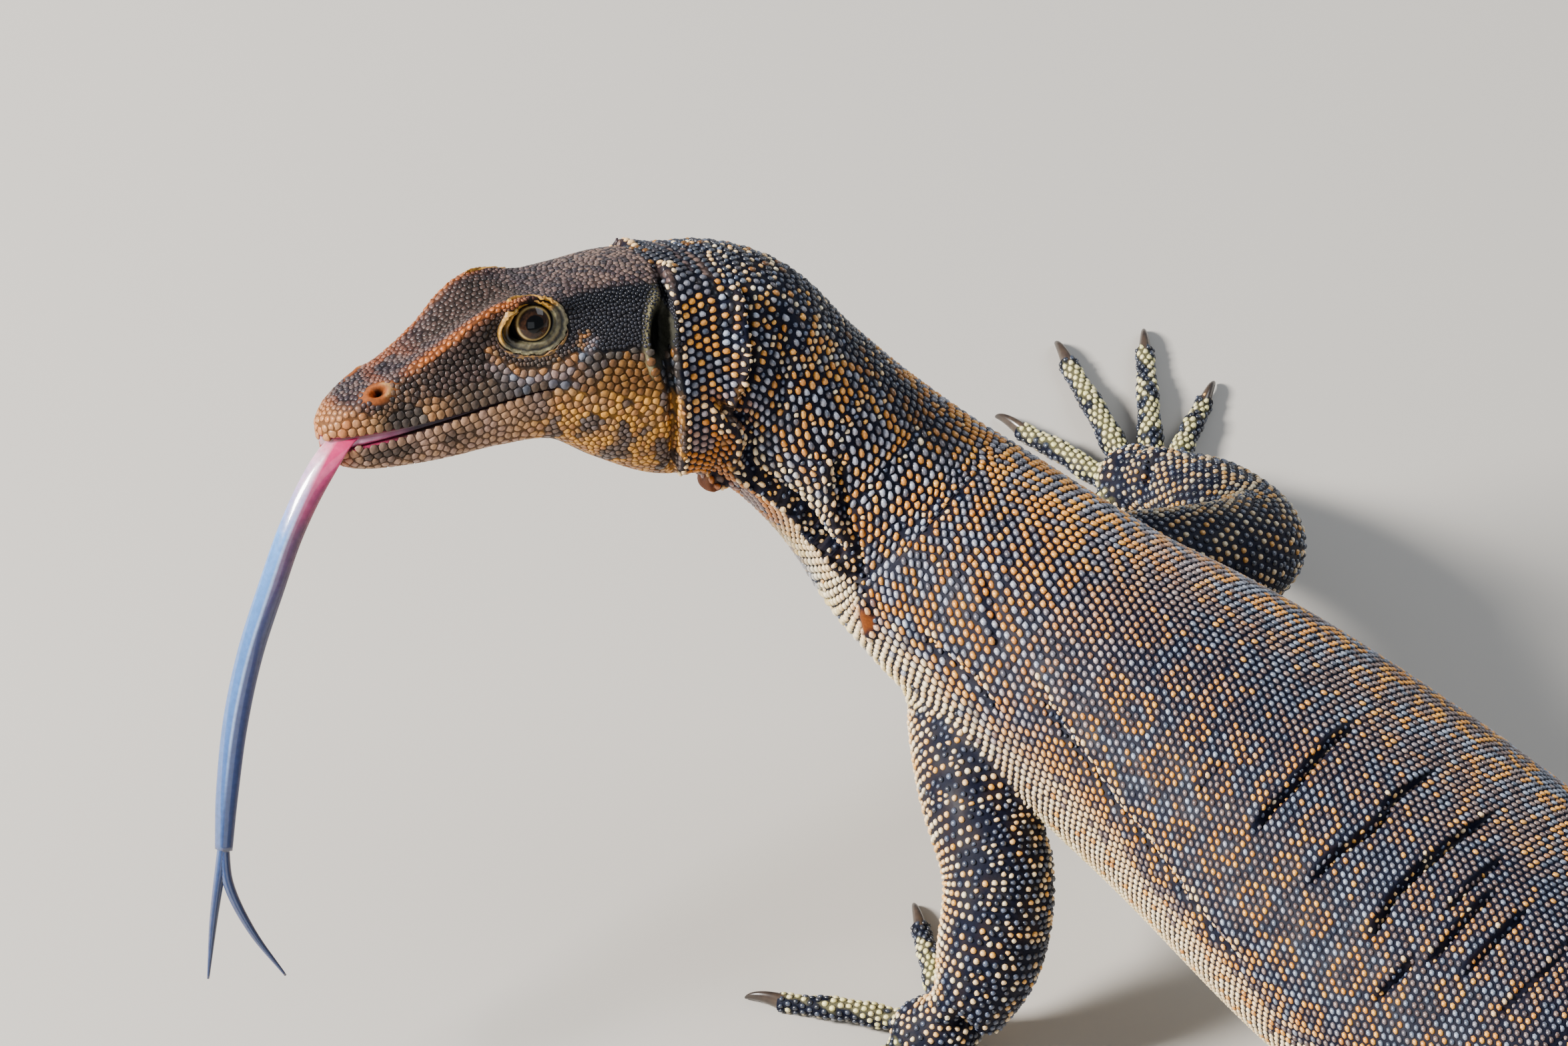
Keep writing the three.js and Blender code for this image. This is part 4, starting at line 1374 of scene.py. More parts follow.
        return layered(
            blend(Paint.violet, Paint.plum, r2) * 0.36,
            (Paint.flesh, 0.01 + 0.22 * fleck),
            (Paint.russet, smooth(0.45, 0.7, drift) * smooth(30, 18, back) * 0.4),
            (Paint.dust, smooth(54, 70, back) * 0.5 * (r3 > 0.55)),
            # Below the brow, partly painted shade
            (loreal, below * smooth(9, 15, back)),
            (blend(Paint.russet, Paint.amber, 0.4 * r1), crest * 0.8),
            (blend(Paint.violet, Paint.slate, 0.1 + 0.3 * r1) * 0.22, rear),
            (Paint.night, rear * temple * 0.9),
            (plates, smooth(cheek_up + 1.8, cheek_up + 0.2, up) * smooth(14, 20, back)),
            (blend(Paint.tan, Paint.amber, 0.5 * r1), bump(ring, 10.4, 0.8) * (up < 12) * (r2 > 0.15) * 0.9),
            (blend(Paint.ash, Paint.flesh, r1), bump(ring, 12.3, 0.8) * (up < 10) * 0.75),
            (lip_tint, lips),
            (Paint.bark, lips * grey * 0.85),
            (self.jaw(own, up - lip_up, blotch, draws), low),
            (blend(Paint.russet, Paint.tan, 0.4 + 0.3 * r1), tip * 0.9),
        )

    def cheek(self, back: Array, up: Array, cheek_up: Array, blotch: Array, draws: list[Array]) -> Array:
        """Colours of the plates between lip and temple.

        Args:
            back: distances back.
            up: heights.
            cheek_up: height of the cheek's rail there.
            blotch: soft noise from 0 to 1.
            draws: the three random numbers of each scale.

        Returns:
            One colour a row.
        """
        r1, r2, r3 = draws
        yellow = smooth(48, 56, back) * smooth(0.4, 0.55, blotch)
        first = blend(Paint.umber, Paint.tan, 0.1 + 0.5 * r1)
        return layered(
            mix(first, Paint.clay, smooth(24, 34, back) * 0.5) * 0.45,
            (Paint.steel, bump(back, 52, 8) * bump(up, 1.5, 3.4) * (r2 > 0.3) * 0.85),
            (blend(Paint.ochre, Paint.gold, 0.5 * r2) * 0.45, yellow * 0.75),
            (blend(Paint.steel, Paint.clay, r1) * 0.35, smooth(56, 64, back) * (1 - yellow) * 0.8),
            (Paint.clay * 0.45, smooth(cheek_up - 2.5, cheek_up, up) * smooth(44, 52, back) * (r3 < 0.7)),
        )

    def jaw(self, own: Array, over_lip: Array, blotch: Array, draws: list[Array]) -> Array:
        """Colours of the lower jaw and the throat.

        Args:
            own: distances back, left and up of the scales.
            over_lip: heights over the upper lip's line.
            blotch: soft noise from 0 to 1.
            draws: the three random numbers of each scale.

        Returns:
            One colour a row.
        """
        back, (r1, r2, _) = own[:, 0], draws
        edge = bump(over_lip, -5.2, 2.6) * smooth(6, 10, back) * smooth(40, 26, back)
        throat = mix(blend(Paint.ochre, Paint.tan, 0.3 + 0.6 * r1), Paint.gold, 0.5 * (r2 > 0.4))
        dim = smooth(0.5, 0.6, cloud(own * [1.5, 1, 1], 4.5, 29) + 0.15 * (r1 - 0.5))
        throat = mix(throat, blend(Paint.bark, Paint.steel, 0.5 * r2), dim * 0.85)
        return layered(
            blend(Paint.flesh, Paint.tan, 0.3 + 0.5 * r1),
            (Paint.bark, smooth(0.42, 0.58, blotch + 0.25 * edge - 0.1) * edge * 0.9),
            (throat, smooth(36, 56, back)),
            (Paint.russet, smooth(9, 4.5, back) * 0.75),
        )


# Scales


@dataclass
class Roots:
    """Where scales grow and what each is like, one row a scale.

    Attributes:
        place: roots in millimetres.
        lie: the way each points.
        tint: linear colours.
        size: usual distance to the next scale.
        fill: shares of its cell that a scale fills, along and across.
        height: how far it stands out.
        flat: 0 for a bead and 1 for a flat shield.
        spot: places on the unwrap, each from 0 to 1.
        patch: number of the piece that it belongs to.
    """

    place: Array
    lie: Array
    tint: Array
    size: Array
    fill: Array
    height: Array
    flat: Array
    spot: Array
    patch: Array

    @staticmethod
    def alike(place: Array, lie: Array, tint: Array, spot: Array, patch: Array, size: Array,
              fill: Array, height: Array, flat: Array) -> "Roots":
        """Roots whose values may be given once for all.

        Args:
            place: roots, one a row.
            lie: the way each points.
            tint: linear colours.
            spot: places on the unwrap.
            patch: number of the piece, one or one for each.
            size: usual distance to the next scale, one or one for each.
            fill: two shares, once or for each.
            height: how far they stand out, one or one for each.
            flat: 0 to 1, one or one for each.

        Returns:
            The roots.
        """
        full = np.ones(len(place))
        return Roots(place, lie, tint, size * full, np.ones((len(place), 2)) * np.asarray(fill, float),
                     height * full, flat * full, spot, (patch * full).astype(int))

    @staticmethod
    def stack(parts: Iterable["Roots"]) -> "Roots":
        """Several sets as one."""
        parts = list(parts)
        return Roots(*(np.concatenate([getattr(p, f.name) for p in parts]) for f in fields(Roots)))

    def only(self, keep: Array) -> "Roots":
        """The rows that are kept."""
        return Roots(*(getattr(self, f.name)[keep] for f in fields(Roots)))


class Patch(Enum):
    """The pieces of the coat, each with its title, a slot name and the sides of its scales."""

    HEAD = ("coat_head", "head_skin", 8)
    JAW = ("coat_jaw", "jaw_skin", 8)
    NECK = ("coat_neck", "back_skin", 8)
    TRUNK_FRONT = ("coat_trunk_front", "back_skin", 7)
    TRUNK_MIDDLE = ("coat_trunk_middle", "back_skin", 6)
    TRUNK_REAR = ("coat_trunk_rear", "back_skin", 6)
    BELLY = ("coat_belly", "back_skin", 6)
    TAIL_FRONT = ("coat_tail_front", "tail_skin", 6)
    TAIL_REAR = ("coat_tail_rear", "tail_skin", 6)
    FORE_LEFT = ("coat_foreleg_left", "leg_skin", 8)
    FORE_RIGHT = ("coat_foreleg_right", "leg_skin", 7)
    HIND_LEFT = ("coat_hindleg_left", "leg_skin", 7)
    HIND_RIGHT = ("coat_hindleg_right", "leg_skin", 6)

    def __init__(self, title: str, slot: str, sides: int) -> None:
        """Names the three values."""
        self.title, self.slot, self.sides = title, slot, sides

    @property
    def number(self) -> int:
        """Its place in the list."""
        return list(Patch).index(self)


LEG_PATCHES = (Patch.FORE_LEFT, Patch.FORE_RIGHT, Patch.HIND_LEFT, Patch.HIND_RIGHT)
SHIELDED = (Patch.HEAD, Patch.JAW, Patch.BELLY)


@dataclass
class Coat:
    """Turns roots into scales shaped by the room that their neighbours leave."""

    neighbours: int = 9
    sink: float = 0.3
    bead: float = 0.58
    shield: float = 0.72
    widest: float = 9.0
    patch_width: float = 0.003
    # Painted shade darkens each scale's sunk rim and painted light brightens its top, more for beads than for
    # flat shields
    rim_shade: tuple = (0.5, 0.8)
    top_light: tuple = (1.4, 1.1)

    def settle(self, roots: Roots, skin: BVHTree, reach: float) -> tuple[Roots, Array]:
        """Brings roots onto the skin and drops those that lie inside the animal.

        Args:
            roots: the roots.
            skin: the skin in millimetres.
            reach: how far a root may lie off the skin.

        Returns:
            The roots that are kept, and the skin's normal at each.
        """
        keep = np.zeros(len(roots.place), bool)
        normals = np.zeros_like(roots.place)
        for i, p in enumerate(roots.place):
            spot, normal, _, gap = skin.find_nearest(p)
            if spot is not None and gap < reach:
                keep[i] = True
                roots.place[i] = spot
                normals[i] = normal
        return roots.only(keep), normals[keep]

    def thinned(self, places: Array, sizes: Array, share: float) -> Array:
        """Drops roots that are too close to an earlier one.

        Args:
            places: roots, one a row.
            sizes: usual distance of each to the next.
            share: share of that distance that they have to keep.

        Returns:
            True for each that stays.
        """
        tree = tree_of(places)
        keep = np.ones(len(places), bool)
        for i, p in enumerate(places):
            if not keep[i]:
                continue
            for _, j, gap in tree.find_range(p, sizes[i] * share):
                if j > i and gap < share * 0.5 * (sizes[i] + sizes[j]):
                    keep[j] = False
        return keep

    def cells(self, roots: Roots, normals: Array) -> tuple[Array, Array, Array, Array]:
        """Where each scale's neighbours are.

        Args:
            roots: the roots, on the skin.
            normals: the skin's normals there.

        Returns:
            Half distances and bearings with one column a neighbour, and the axes along and across the lie.
        """
        ahead = unit(roots.lie - normals * (roots.lie * normals).sum(1, keepdims=True))
        across = np.cross(normals, ahead)
        tree = tree_of(roots.place)
        near = np.array([[j for _, j, _ in tree.find_n(p, self.neighbours)] for p in roots.place])
        offset = roots.place[near[:, 1:]] - roots.place[:, None]
        x = (offset * ahead[:, None]).sum(-1)
        y = (offset * across[:, None]).sum(-1)
        return np.hypot(x, y) / 2, np.arctan2(y, x), ahead, across

    def domes(self, roots: Roots, normals: Array, cells: Sequence[Array], sides: int) -> tuple[Array, Array]:
        """The points of each scale: a sunk base, a shoulder and a top.

        Args:
            roots: the roots, on the skin.
            normals: the skin's normals there.
            cells: what cells gives for them.
            sides: number of sides of a scale.

        Returns:
            Points, and how far they lie from the root along and across its lie, one row of points a scale.
        """
        half, bearing, ahead, across = cells
        turn = 2 * np.pi * (np.arange(sides) + 0.5) / sides
        facing = np.cos(turn[None, :, None] - bearing[:, None, :])
        reach = np.where(facing > 0.1, half[:, None, :] / np.maximum(facing, 0.1), self.widest).min(-1)
        most = np.interp(roots.flat, (0.2, 0.6), (self.bead, self.shield))
        reach = np.clip(reach, 0.25 * roots.size[:, None], (most * roots.size)[:, None])
        corners = np.stack([np.cos(turn), np.sin(turn)], -1)
        wide = corners[None] * reach[..., None] * roots.fill[:, None, :]
        flat, height = roots.flat[:, None, None], roots.height[:, None, None]
        shoulder = wide * (0.72 + 0.16 * flat)
        tilt = 0.1 * height * shoulder[..., :1] / np.maximum(roots.size[:, None, None], 0.1)
        rise = height * (0.66 + 0.22 * flat) + tilt
        rings = [roots.place[:, None] + ahead[:, None] * ring[..., :1] + across[:, None] * ring[..., 1:]
                 + normals[:, None] * up
                 for ring, up in ((wide, -self.sink * (1 - 0.65 * flat)), (shoulder, rise))]
        top = roots.place + normals * roots.height[:, None]
        points = np.concatenate([*rings, top[:, None]], axis=1)
        return points, np.concatenate([wide, shoulder, np.zeros((len(top), 1, 2))], axis=1)

    def grow(self, roots: Roots, normals: Array, placing: Placing, beads: Finish, shields: Finish) -> None:
        """Builds one piece for each patch.

        Args:
            roots: the roots, on the skin.
            normals: the skin's normals there.
            placing: the frame's placing.
            beads: material of the domed scales.
            shields: material of the flat scales of head and belly.
        """
        cells = self.cells(roots, normals)
        for patch in Patch:
            mine = roots.patch == patch.number
            if mine.any():
                own = roots.only(mine)
                domes = self.domes(own, normals[mine], [c[mine] for c in cells], patch.sides)
                self.piece(patch, *domes, own, placing, shields if patch in SHIELDED else beads)

    def piece(self, patch: Patch, points: Array, local: Array, roots: Roots, placing: Placing,
              finish: Finish) -> None:
        """One piece of the coat, painted and with its unwrap.

        Args:
            patch: the piece.
            points: points of its scales.
            local: how far they lie from their roots, along and across.
            roots: its roots.
            placing: the frame's placing.
            finish: its material.
        """
        n = patch.sides
        each = 2 * n + 1
        j = np.arange(n)
        after = (j + 1) % n
        side = np.stack([j, after, after + n, j + n], -1)
        cap = np.stack([j + n, after + n, np.full(n, 2 * n)], -1)
        under = j[::-1][None]
        start = (np.arange(len(points)) * each)[:, None, None]
        faces = [(f[None] + start).reshape(-1, f.shape[1]) for f in (side, cap, under)]
        made = placing.piece(patch.title, points.reshape(-1, 3), faces)
        spread = self.patch_width / 2 / np.maximum(np.abs(local).max(axis=(1, 2)), 0.01)
        flat = (roots.spot[:, None] + local * spread[:, None, None]).reshape(-1, 2)
        corners = np.concatenate([f.ravel() for f in faces])
        layer = made.data.uv_layers.new(name="OFBake")
        layer.data.foreach_set("uv", flat[corners].astype(np.float32).ravel())
        # Painted shade on each scale's rim and painted light on its top
        shade = np.ones((len(points), each))
        shade[:, :n] = np.interp(roots.flat, (0, 1), self.rim_shade)[:, None]
        shade[:, -1] = np.interp(roots.flat, (0, 1), self.top_light)
        finished(made, (roots.tint[:, None] * shade[..., None]).reshape(-1, 3), finish, patch.slot)


# Skin

# The folds as height, crease, side, width, run and share of pale scales after each path

COLLAR = Fold(((82, 0.02), (80, 0.06), (79, 0.106), (78, 0.166), (77.5, 0.238), (78, 0.296), (78, 0.34),
               (79, 0.41), (82, 0.45)), 2.2, 1.7, 1, 1.2, 4.0, 0.95)
SECOND = Fold(((92, 0.07), (92.5, 0.108), (93.5, 0.158), (94.5, 0.212), (93, 0.276), (92, 0.3)),
              3.2, 2.4, -1, 1.2, 3.0, 1.0)
VEE = Fold(((81.5, 0.276), (90.5, 0.312), (103, 0.312), (111.5, 0.334), (118.5, 0.326), (132, 0.306),
            (145, 0.272), (153, 0.268)), 3.2, 2.4, -1, 1.5, 4.0, 1.0)
THIRD = Fold(((99, 0.10), (100.5, 0.14), (102, 0.18), (104, 0.21), (107, 0.25)), 0.8, 0.9, 1, 1.2, 3.0, 0.4)
HOLLOW = Fold(((96, 0.08), (97, 0.14), (98.5, 0.20), (101, 0.25), (108, 0.285), (116, 0.30)),
              -1.4, 0.0, 0, 4.2, 0.0, 0.0)
THROAT = Fold(((120, 0.208), (125, 0.236), (132, 0.25), (142, 0.246), (152, 0.258), (159, 0.236)),
              1.7, 2.4, -1, 1.4, 4.5, 0.8)
FLAP = Fold(((112, 0.38), (112.8, 0.415), (113.6, 0.445), (114, 0.475)), 4.2, 0.0, 0, 2.4, 0.0, 0.0)
LAPPET = Fold(((160, 0.247), (165, 0.272), (169, 0.298)), 1.8, 0.0, 0, 1.7, 0.0, 0.0)
ARMPIT = Fold(((180, 0.215), (187, 0.214), (194, 0.212), (201, 0.216), (208, 0.228)),
              0.8, 1.6, 1, 1.4, 4.0, 0.4)
SHOULDER = Fold(((184, 0.112), (189, 0.132), (194, 0.15), (198, 0.172)), 0.4, 0.9, -1, 1.3, 3.0, 0.2)
FLANK = Fold(((202.5, 0.154), (221, 0.176), (233.5, 0.19), (246.5, 0.202), (259, 0.206), (274, 0.216),
              (285.5, 0.22), (293, 0.222)), 1.3, 1.7, 1, 1.5, 7.0, 0.75)
BENDS = (
    Fold(((272, -0.02), (272.5, 0.022), (274.5, 0.064), (274.5, 0.096), (276, 0.12)),
         1.0, 2.3, -1, 0.95, 4.5, 0.3),
    Fold(((291.5, -0.04), (292, 0.014), (294.5, 0.042), (293, 0.08), (293, 0.122)),
         0.9, 2.2, -1, 0.95, 4.5, 0.3),
    Fold(((308.5, -0.045), (309, 0.018), (309, 0.052), (310, 0.086), (312.5, 0.118)),
         1.1, 2.4, -1, 0.95, 4.5, 0.3))
# The ribs as reach, first turn, last turn and size
RIBS = ((319.5, -0.01, 0.06, 0.8), (325.2, 0.015, 0.1, 1.0), (332.5, 0.01, 0.09, 0.9),
        (322.0, 0.1, 0.155, 0.9), (345.0, 0.0, 0.1, 0.7), (258.0, 0.09, 0.13, 0.5), (358.0, 0.02, 0.11, 0.7))


def rib(reach: float, start: float, end: float, size: float) -> Fold:
    """One of the slighter folds that run across the left side of the trunk, where it bends.

    Args:
        reach: distance back from the snout.
        start: turn of its first end.
        end: turn of its last end.
        size: share of a whole fold's height and depth.

    Returns:
        The fold.
    """
    bow = 1.6 * np.sin(np.linspace(0, 2.4, 5) + reach)
    path = tuple((reach + b * 0.5, turn) for b, turn in zip(bow, np.linspace(start, end, 5)))
    return Fold(path, 0.9 * size, 1.6 * size, -1, 1.0, 4.5, 0.4)


PAIRED = (COLLAR, SECOND, VEE, THIRD, HOLLOW, THROAT, ARMPIT, FLANK)
FOLDS = (*PAIRED, FLAP, LAPPET, SHOULDER, *BENDS, *(rib(*row) for row in RIBS),
         *(fold.mirrored(0.8) for fold in PAIRED))


@dataclass
class Skin:
    """The animal's one skin, from snout to tail tip and down to the digits.

    The spans are rows of [first reach, last reach, step between rings].
    """

    body: BodyShape
    legs: list
    eyes: "EyeShape"
    placing: Placing
    inset: float = 0.35
    sides: int = 136
    limb_sides: int = 36
    digit_sides: int = 16
    palm_rings: int = 24
    palm_sides: int = 40
    limb_step: float = 1.9
    digit_step: float = 1.3
    seam_width: float = 7.0
    seam_rounds: int = 14
    seam_start: float = 60.0
    openings_end: float = 95.0
    ear: tuple = (75.6, 8.2, 2.6, 6.9, 12.0)
    ear_depth: float = 3.4
    ear_shelf: float = 0.7
    nostril: tuple = (14.0, 6.0, 5.5)
    nostril_facing: tuple = (-0.15, 0.66, 0.73)
    nostril_size: tuple = (2.0, 1.15)
    folds: tuple = FOLDS
    spans: tuple = ((1.8, 3.8, 0.5), (3.8, 9, 0.75), (9, 18, 0.45), (18, 36, 0.85), (36, 60, 0.6),
                    (60, 70, 0.85), (70, 98, 0.6), (98.5, 172, 0.8), (172, 268, 1.3), (268, 336, 0.65),
                    (336, 400, 1.3), (400, 580, 1.9))
    tip_step: float = 3.6
    flesh: tuple = ("head", "lower_jaw", "neck", "torso_front", "torso_rear", "tail_base",
                    "tail_middle", "tail_rear", "tail_tip")

    def reaches(self) -> Array:
        """Distances back at which the body has a ring."""
        length = self.body.length
        spans = (*self.spans, (self.spans[-1][1], length - 2, self.tip_step))
        rows = [np.arange(start, end - step * 0.4, step) for start, end, step in spans]
        return np.concatenate([*rows, [length - 1, length]])

    def relief(self, reach: Array, place: Array) -> Array:
        """How far the skin stands out of the smooth body.

        Args:
            reach: distances back.
            place: places on the smooth body.

        Returns:
            A height for each place.
        """
        out = -self.inset * smooth(0, 6, reach) * smooth(0, 6, self.body.length - reach)
        for fold in self.folds:
            index, away, ends = fold.away(self.body, reach, place)
            out[index] += ends * fold.profile(away)
        near = reach < self.openings_end
        own = self.body.head.own(place[near])
        away = self.eyes.away(own)
        dip = 0.8 * smooth(6.5, 5.9, away) + 2.0 * smooth(5.6, 4.6, away)
        dip = dip * smooth(9.5, 11.5, np.abs(own[:, 1]))
        shelf = 0.9 * bump(own[:, 0], self.eyes.back - 0.5, 6.0) * bump(away, 7.6, 1.3)
        shelf = shelf * (own[:, 2] > self.eyes.up + 2)
        out[near] += self.ear_relief(own) + self.nose_relief(own) + shelf - dip
        return out

    def ear_away(self, own: Array) -> tuple[Array, Array]:
        """Where places lie from the nearer ear.

        Args:
            own: distances back, left and up.

        Returns:
            Distance from its middle, 1 at its rim, and how far forward of it.
        """
        back, up, wide, high, lean = self.ear
        turn = math.radians(lean)
        x, y = own[:, 0] - back, own[:, 2] - up
        across = (x * math.cos(turn) - y * math.sin(turn)) / wide
        rise = (x * math.sin(turn) + y * math.cos(turn)) / high
        return np.where(np.abs(own[:, 1]) > 8, np.hypot(across, rise), 9.0), -across

    def ear_relief(self, own: Array) -> Array:
        """The ear's opening: an upright oval dip with a raised rim in front.

        Args:
            own: distances back, left and up.

        Returns:
            A height for each place.
        """
        away, ahead = self.ear_away(own)
        rim = 0.8 * bump(away, 1.2, 0.2) * smooth(-0.6, 0.5, ahead)
        deep = (self.ear_depth - self.ear_shelf) * smooth(0.85, 0.45, away)
        return rim - self.ear_shelf * smooth(1.1, 0.85, away) - deep

    def nose_away(self, own: Array) -> tuple[Array, Array, Array]:
        """Where places lie from the nearer nostril.

        Args:
            own: distances back, left and up.

        Returns:
            Distance from its middle in millimetres, the same with its rim at 1, and how far behind.
        """
        offset = np.column_stack([own[:, 0], np.abs(own[:, 1]), own[:, 2]]) - self.nostril
        out = unit(np.array(self.nostril_facing))
        run = unit(np.array([1.0, 0.0, 0.0]) - out * out[0])
        x, y = offset @ run, offset @ np.cross(out, run)
        plain = np.where(np.abs(offset @ out) < 6, np.hypot(x, y), 99.0)
        rim = np.hypot(x / self.nostril_size[0], y / self.nostril_size[1])
        return plain, np.where(plain < 90, rim, 99.0), x

    def nose_relief(self, own: Array) -> Array:
        """The swollen ring and the opening of each nostril.

        Args:
            own: distances back, left and up.

        Returns:
            A height for each place.
        """
        plain, away, behind = self.nose_away(own)
        rim = 0.3 * bump(away, 1.35, 0.3) * smooth(-0.5, 1.5, behind)
        return 0.9 * bump(plain, 0, 3.6) + rim - 2.6 * smooth(1.1, 0.35, away)

    def lifted(self, reach: Array, turn: Array) -> Array:
        """Places on the body with its folds and openings.

        Args:
            reach: distances back.
            turn: places round the body.

        Returns:
            One place a row.
        """
        place = self.body.plain(reach, turn)
        place = place + self.body.normals(reach, turn) * self.relief(reach, place)[:, None]
        place[:, 2] = np.maximum(place[:, 2], CLEARANCE)
        return place

    def body_solid(self) -> Piece:
        """The skin of head, neck, trunk and tail."""
        reaches = self.reaches()
        reach, turn = pairs(reaches, np.arange(self.sides) / self.sides)
        rings = self.lifted(reach, turn).reshape(len(reaches), self.sides, 3)
        return self.placing.solid("skin", rings)[0]

    def tube_solid(self, tube: Tube, sides: int, step: float, swell: float = 0.0) -> Piece:
        """The solid of one tube, to be joined to the skin.

        Args:
            tube: the tube.
            sides: number of points round it.
            step: distance between its rings.
            swell: how much its knuckles stand out.

        Returns:
            The solid.
        """
        places = np.linspace(0, tube.length, int(tube.length / step) + 2)
        place, turn = pairs(places, np.arange(sides) / sides)
        rings = tube.surface(place, turn, swell).reshape(len(places), sides, 3)
        return self.placing.solid("part", rings)[0]

    def leg_solids(self, leg: LegShape) -> list[Piece]:
        """The solids of one leg: limb, stump, palm and digits.

        Args:
            leg: the leg.

        Returns:
            The solids.
        """
        tilt, turn = pairs(np.linspace(0.02, math.pi - 0.02, self.palm_rings), turns_of(self.palm_sides))
        ball = np.column_stack([np.sin(tilt) * np.cos(turn), np.sin(tilt) * np.sin(turn), np.cos(tilt)])
        palm = leg.palm_point(ball).reshape(self.palm_rings, self.palm_sides, 3)
        parts = [self.tube_solid(tube, self.limb_sides, self.limb_step) for tube in (leg.limb, leg.stump)]
        parts.append(self.placing.solid("part", palm)[0])
        parts += [self.tube_solid(d, self.digit_sides, self.digit_step, leg.swell) for d in leg.digits]
        return parts

    def mouth_solid(self) -> Piece:
        """The wedge between the lips, to be cut away."""
        head = self.body.head
        backs = np.concatenate([[-4.0], np.linspace(0, head.mouth_corner, 40)])
        upper, lower = head.lip_height(backs), head.lower_lip_height(backs)
        wide = np.full_like(backs, 40.0)
        corners = ((wide, upper), (-wide, upper), (-wide, lower), (wide, lower))
        rings = np.stack([head.point(backs, side, up) for side, up in corners], axis=1)
        return self.placing.solid("part", rings)[0]

    def soften(self, mesh: bpy.types.Mesh, whole: KDTree) -> None:
        """Rounds the seams where one solid runs into another.

        Args:
            mesh: the joined skin.
            whole: the points that the solids had before they were joined.
        """
        points = read_points(mesh) / MM
        seam = np.array([whole.find(p)[2] > 0.02 for p in points])
        if not seam.any():
            return
        seams = tree_of(points[seam])
        gap = np.array([seams.find(p)[2] for p in points])
        weight = (smooth(self.seam_width, self.seam_width * 0.3, gap) * 0.5)[:, None]
        own = self.body.head.own(points - self.placing.shift)
        weight[own[:, 0] < self.seam_start] = 0
        edges = np.empty(len(mesh.edges) * 2, np.int32)
        mesh.edges.foreach_get("vertices", edges)
        a, b = edges.reshape(-1, 2).T
        count = len(points)
        near = np.bincount(a, minlength=count) + np.bincount(b, minlength=count)
        for _ in range(self.seam_rounds):
            total = np.column_stack([np.bincount(a, column[b], count) + np.bincount(b, column[a], count)
                                     for column in points.T])
            points += weight * (total / near[:, None] - points)
        points[:, 2] = np.maximum(points[:, 2], CLEARANCE)
        mesh.vertices.foreach_set("co", (points * MM).astype(np.float32).ravel())
        mesh.update()

    def build(self) -> Piece:
        """The joined and softened skin."""
        body = self.body_solid()
        parts = [part for leg in self.legs for part in self.leg_solids(leg)]
        before = [read_points(o.data) / MM for o in [body, *parts]]
        mesh = joined(body, parts, Join.UNION)
        self.soften(mesh, tree_of(np.concatenate(before)))
        body.data = mesh
        body.data = joined(body, [self.mouth_solid()], Join.CUT)
        log.info("skin joined: %d faces", len(body.data.polygons))
        return body

    def surface(self, piece: Piece) -> tuple[Array, Array]:
        """A piece in the shapes' millimetres.

        Args:
            piece: the skin.

        Returns:
            Its points, and its triangles.
        """
        mesh = piece.data
        mesh.calc_loop_triangles()
        triangles = np.empty(len(mesh.loop_triangles) * 3, np.int32)
        mesh.loop_triangles.foreach_get("vertices", triangles)
        return read_points(mesh) / MM - self.placing.shift, triangles.reshape(-1, 3)

    def tree(self, piece: Piece) -> BVHTree:
        """A tree for finding the nearest place on a piece, in the shapes' millimetres."""
        points, triangles = self.surface(piece)
        return BVHTree.FromPolygons(points.tolist(), triangles.tolist())

    def dress(self, piece: Piece, roots: Roots, finish: Finish) -> None:
        """Paints the skin between the scales: nearly black under beads, like themselves under shields.

        Args:
            piece: the skin.
            roots: the scales' roots.
            finish: the skin's material.
        """
        points = self.surface(piece)[0]
        tree = tree_of(roots.place)
        nearest = np.array([tree.find(p)[1] for p in points])
        near = roots.tint[nearest]
        tint = layered(near * 0.1, ("0b0f22", np.full(len(points), 0.85)),
                       (near * 0.35, smooth(0.2, 0.6, roots.flat[nearest])))
        tint = self.openings(self.body.head.own(points), tint)
        # Brown-orange skin on the flaps, partly their own colour and partly a painted glow of light through
        # them
        tint = layered(tint, ("7d4218", smooth(1.1, 0.8, self.flap_away(points)) * 0.9))
        nodes = [node for leg in self.legs for node in leg.plan.nodes()]
        finished(piece, tint, finish, "back_skin", *self.flesh, *nodes)

    def openings(self, own: Array, tint: Array) -> Array:
        """Paints the nostrils, the ears, the eyes' hollows and the mouth's edges, with painted shade in the
        openings.

        Args:
            own: distances back, left and up.
            tint: the colours so far.

        Returns:
            The new colours.
        """
        head, (back, side, up) = self.body.head, own.T
        _, nose, behind = self.nose_away(own)
        ear, ahead = self.ear_away(own)
        between = (up < head.lip_height(back) + 0.06) & (up > head.lower_lip_height(back) - 0.06)
        between = between & (back < head.mouth_corner + 0.5)
        # Pink between the lips, darkening further back as painted shade inside the mouth
        red = blend(linear("8c2448"), linear("2a1718"), smooth(12, 20, back))
        return layered(
            tint,
            ("8a4c26", smooth(2.6, 1.7, nose) * 0.9),
            ("b98f5c", bump(nose, 1.45, 0.3) * smooth(0.7, 1.8, behind) * 0.8),
            ("b8541a", smooth(1.1, 0.7, nose) * smooth(0.3, -0.8, behind)),
            # Painted shade: the rear of each nostril's opening near black
            ("1c0a05", smooth(0.9, 0.5, nose) * smooth(-1.1, 0.1, behind)),
            ("8f8662", bump(ear, 1.24, 0.2) * smooth(-0.2, 0.6, ahead) * 0.9),
            # Painted shade in the ear's opening, dark olive to near black at its middle
            ("34332a", smooth(1.15, 0.95, ear)),
            ("0b0a08", smooth(0.85, 0.55, ear)),
            # Painted shade in the hollow round each eye
            ("080506", smooth(7.0, 6.2, self.eyes.away(own)) * smooth(9.5, 11.5, np.abs(side))),
            (red, between * smooth(-1, 2, back) * 0.9),
        )

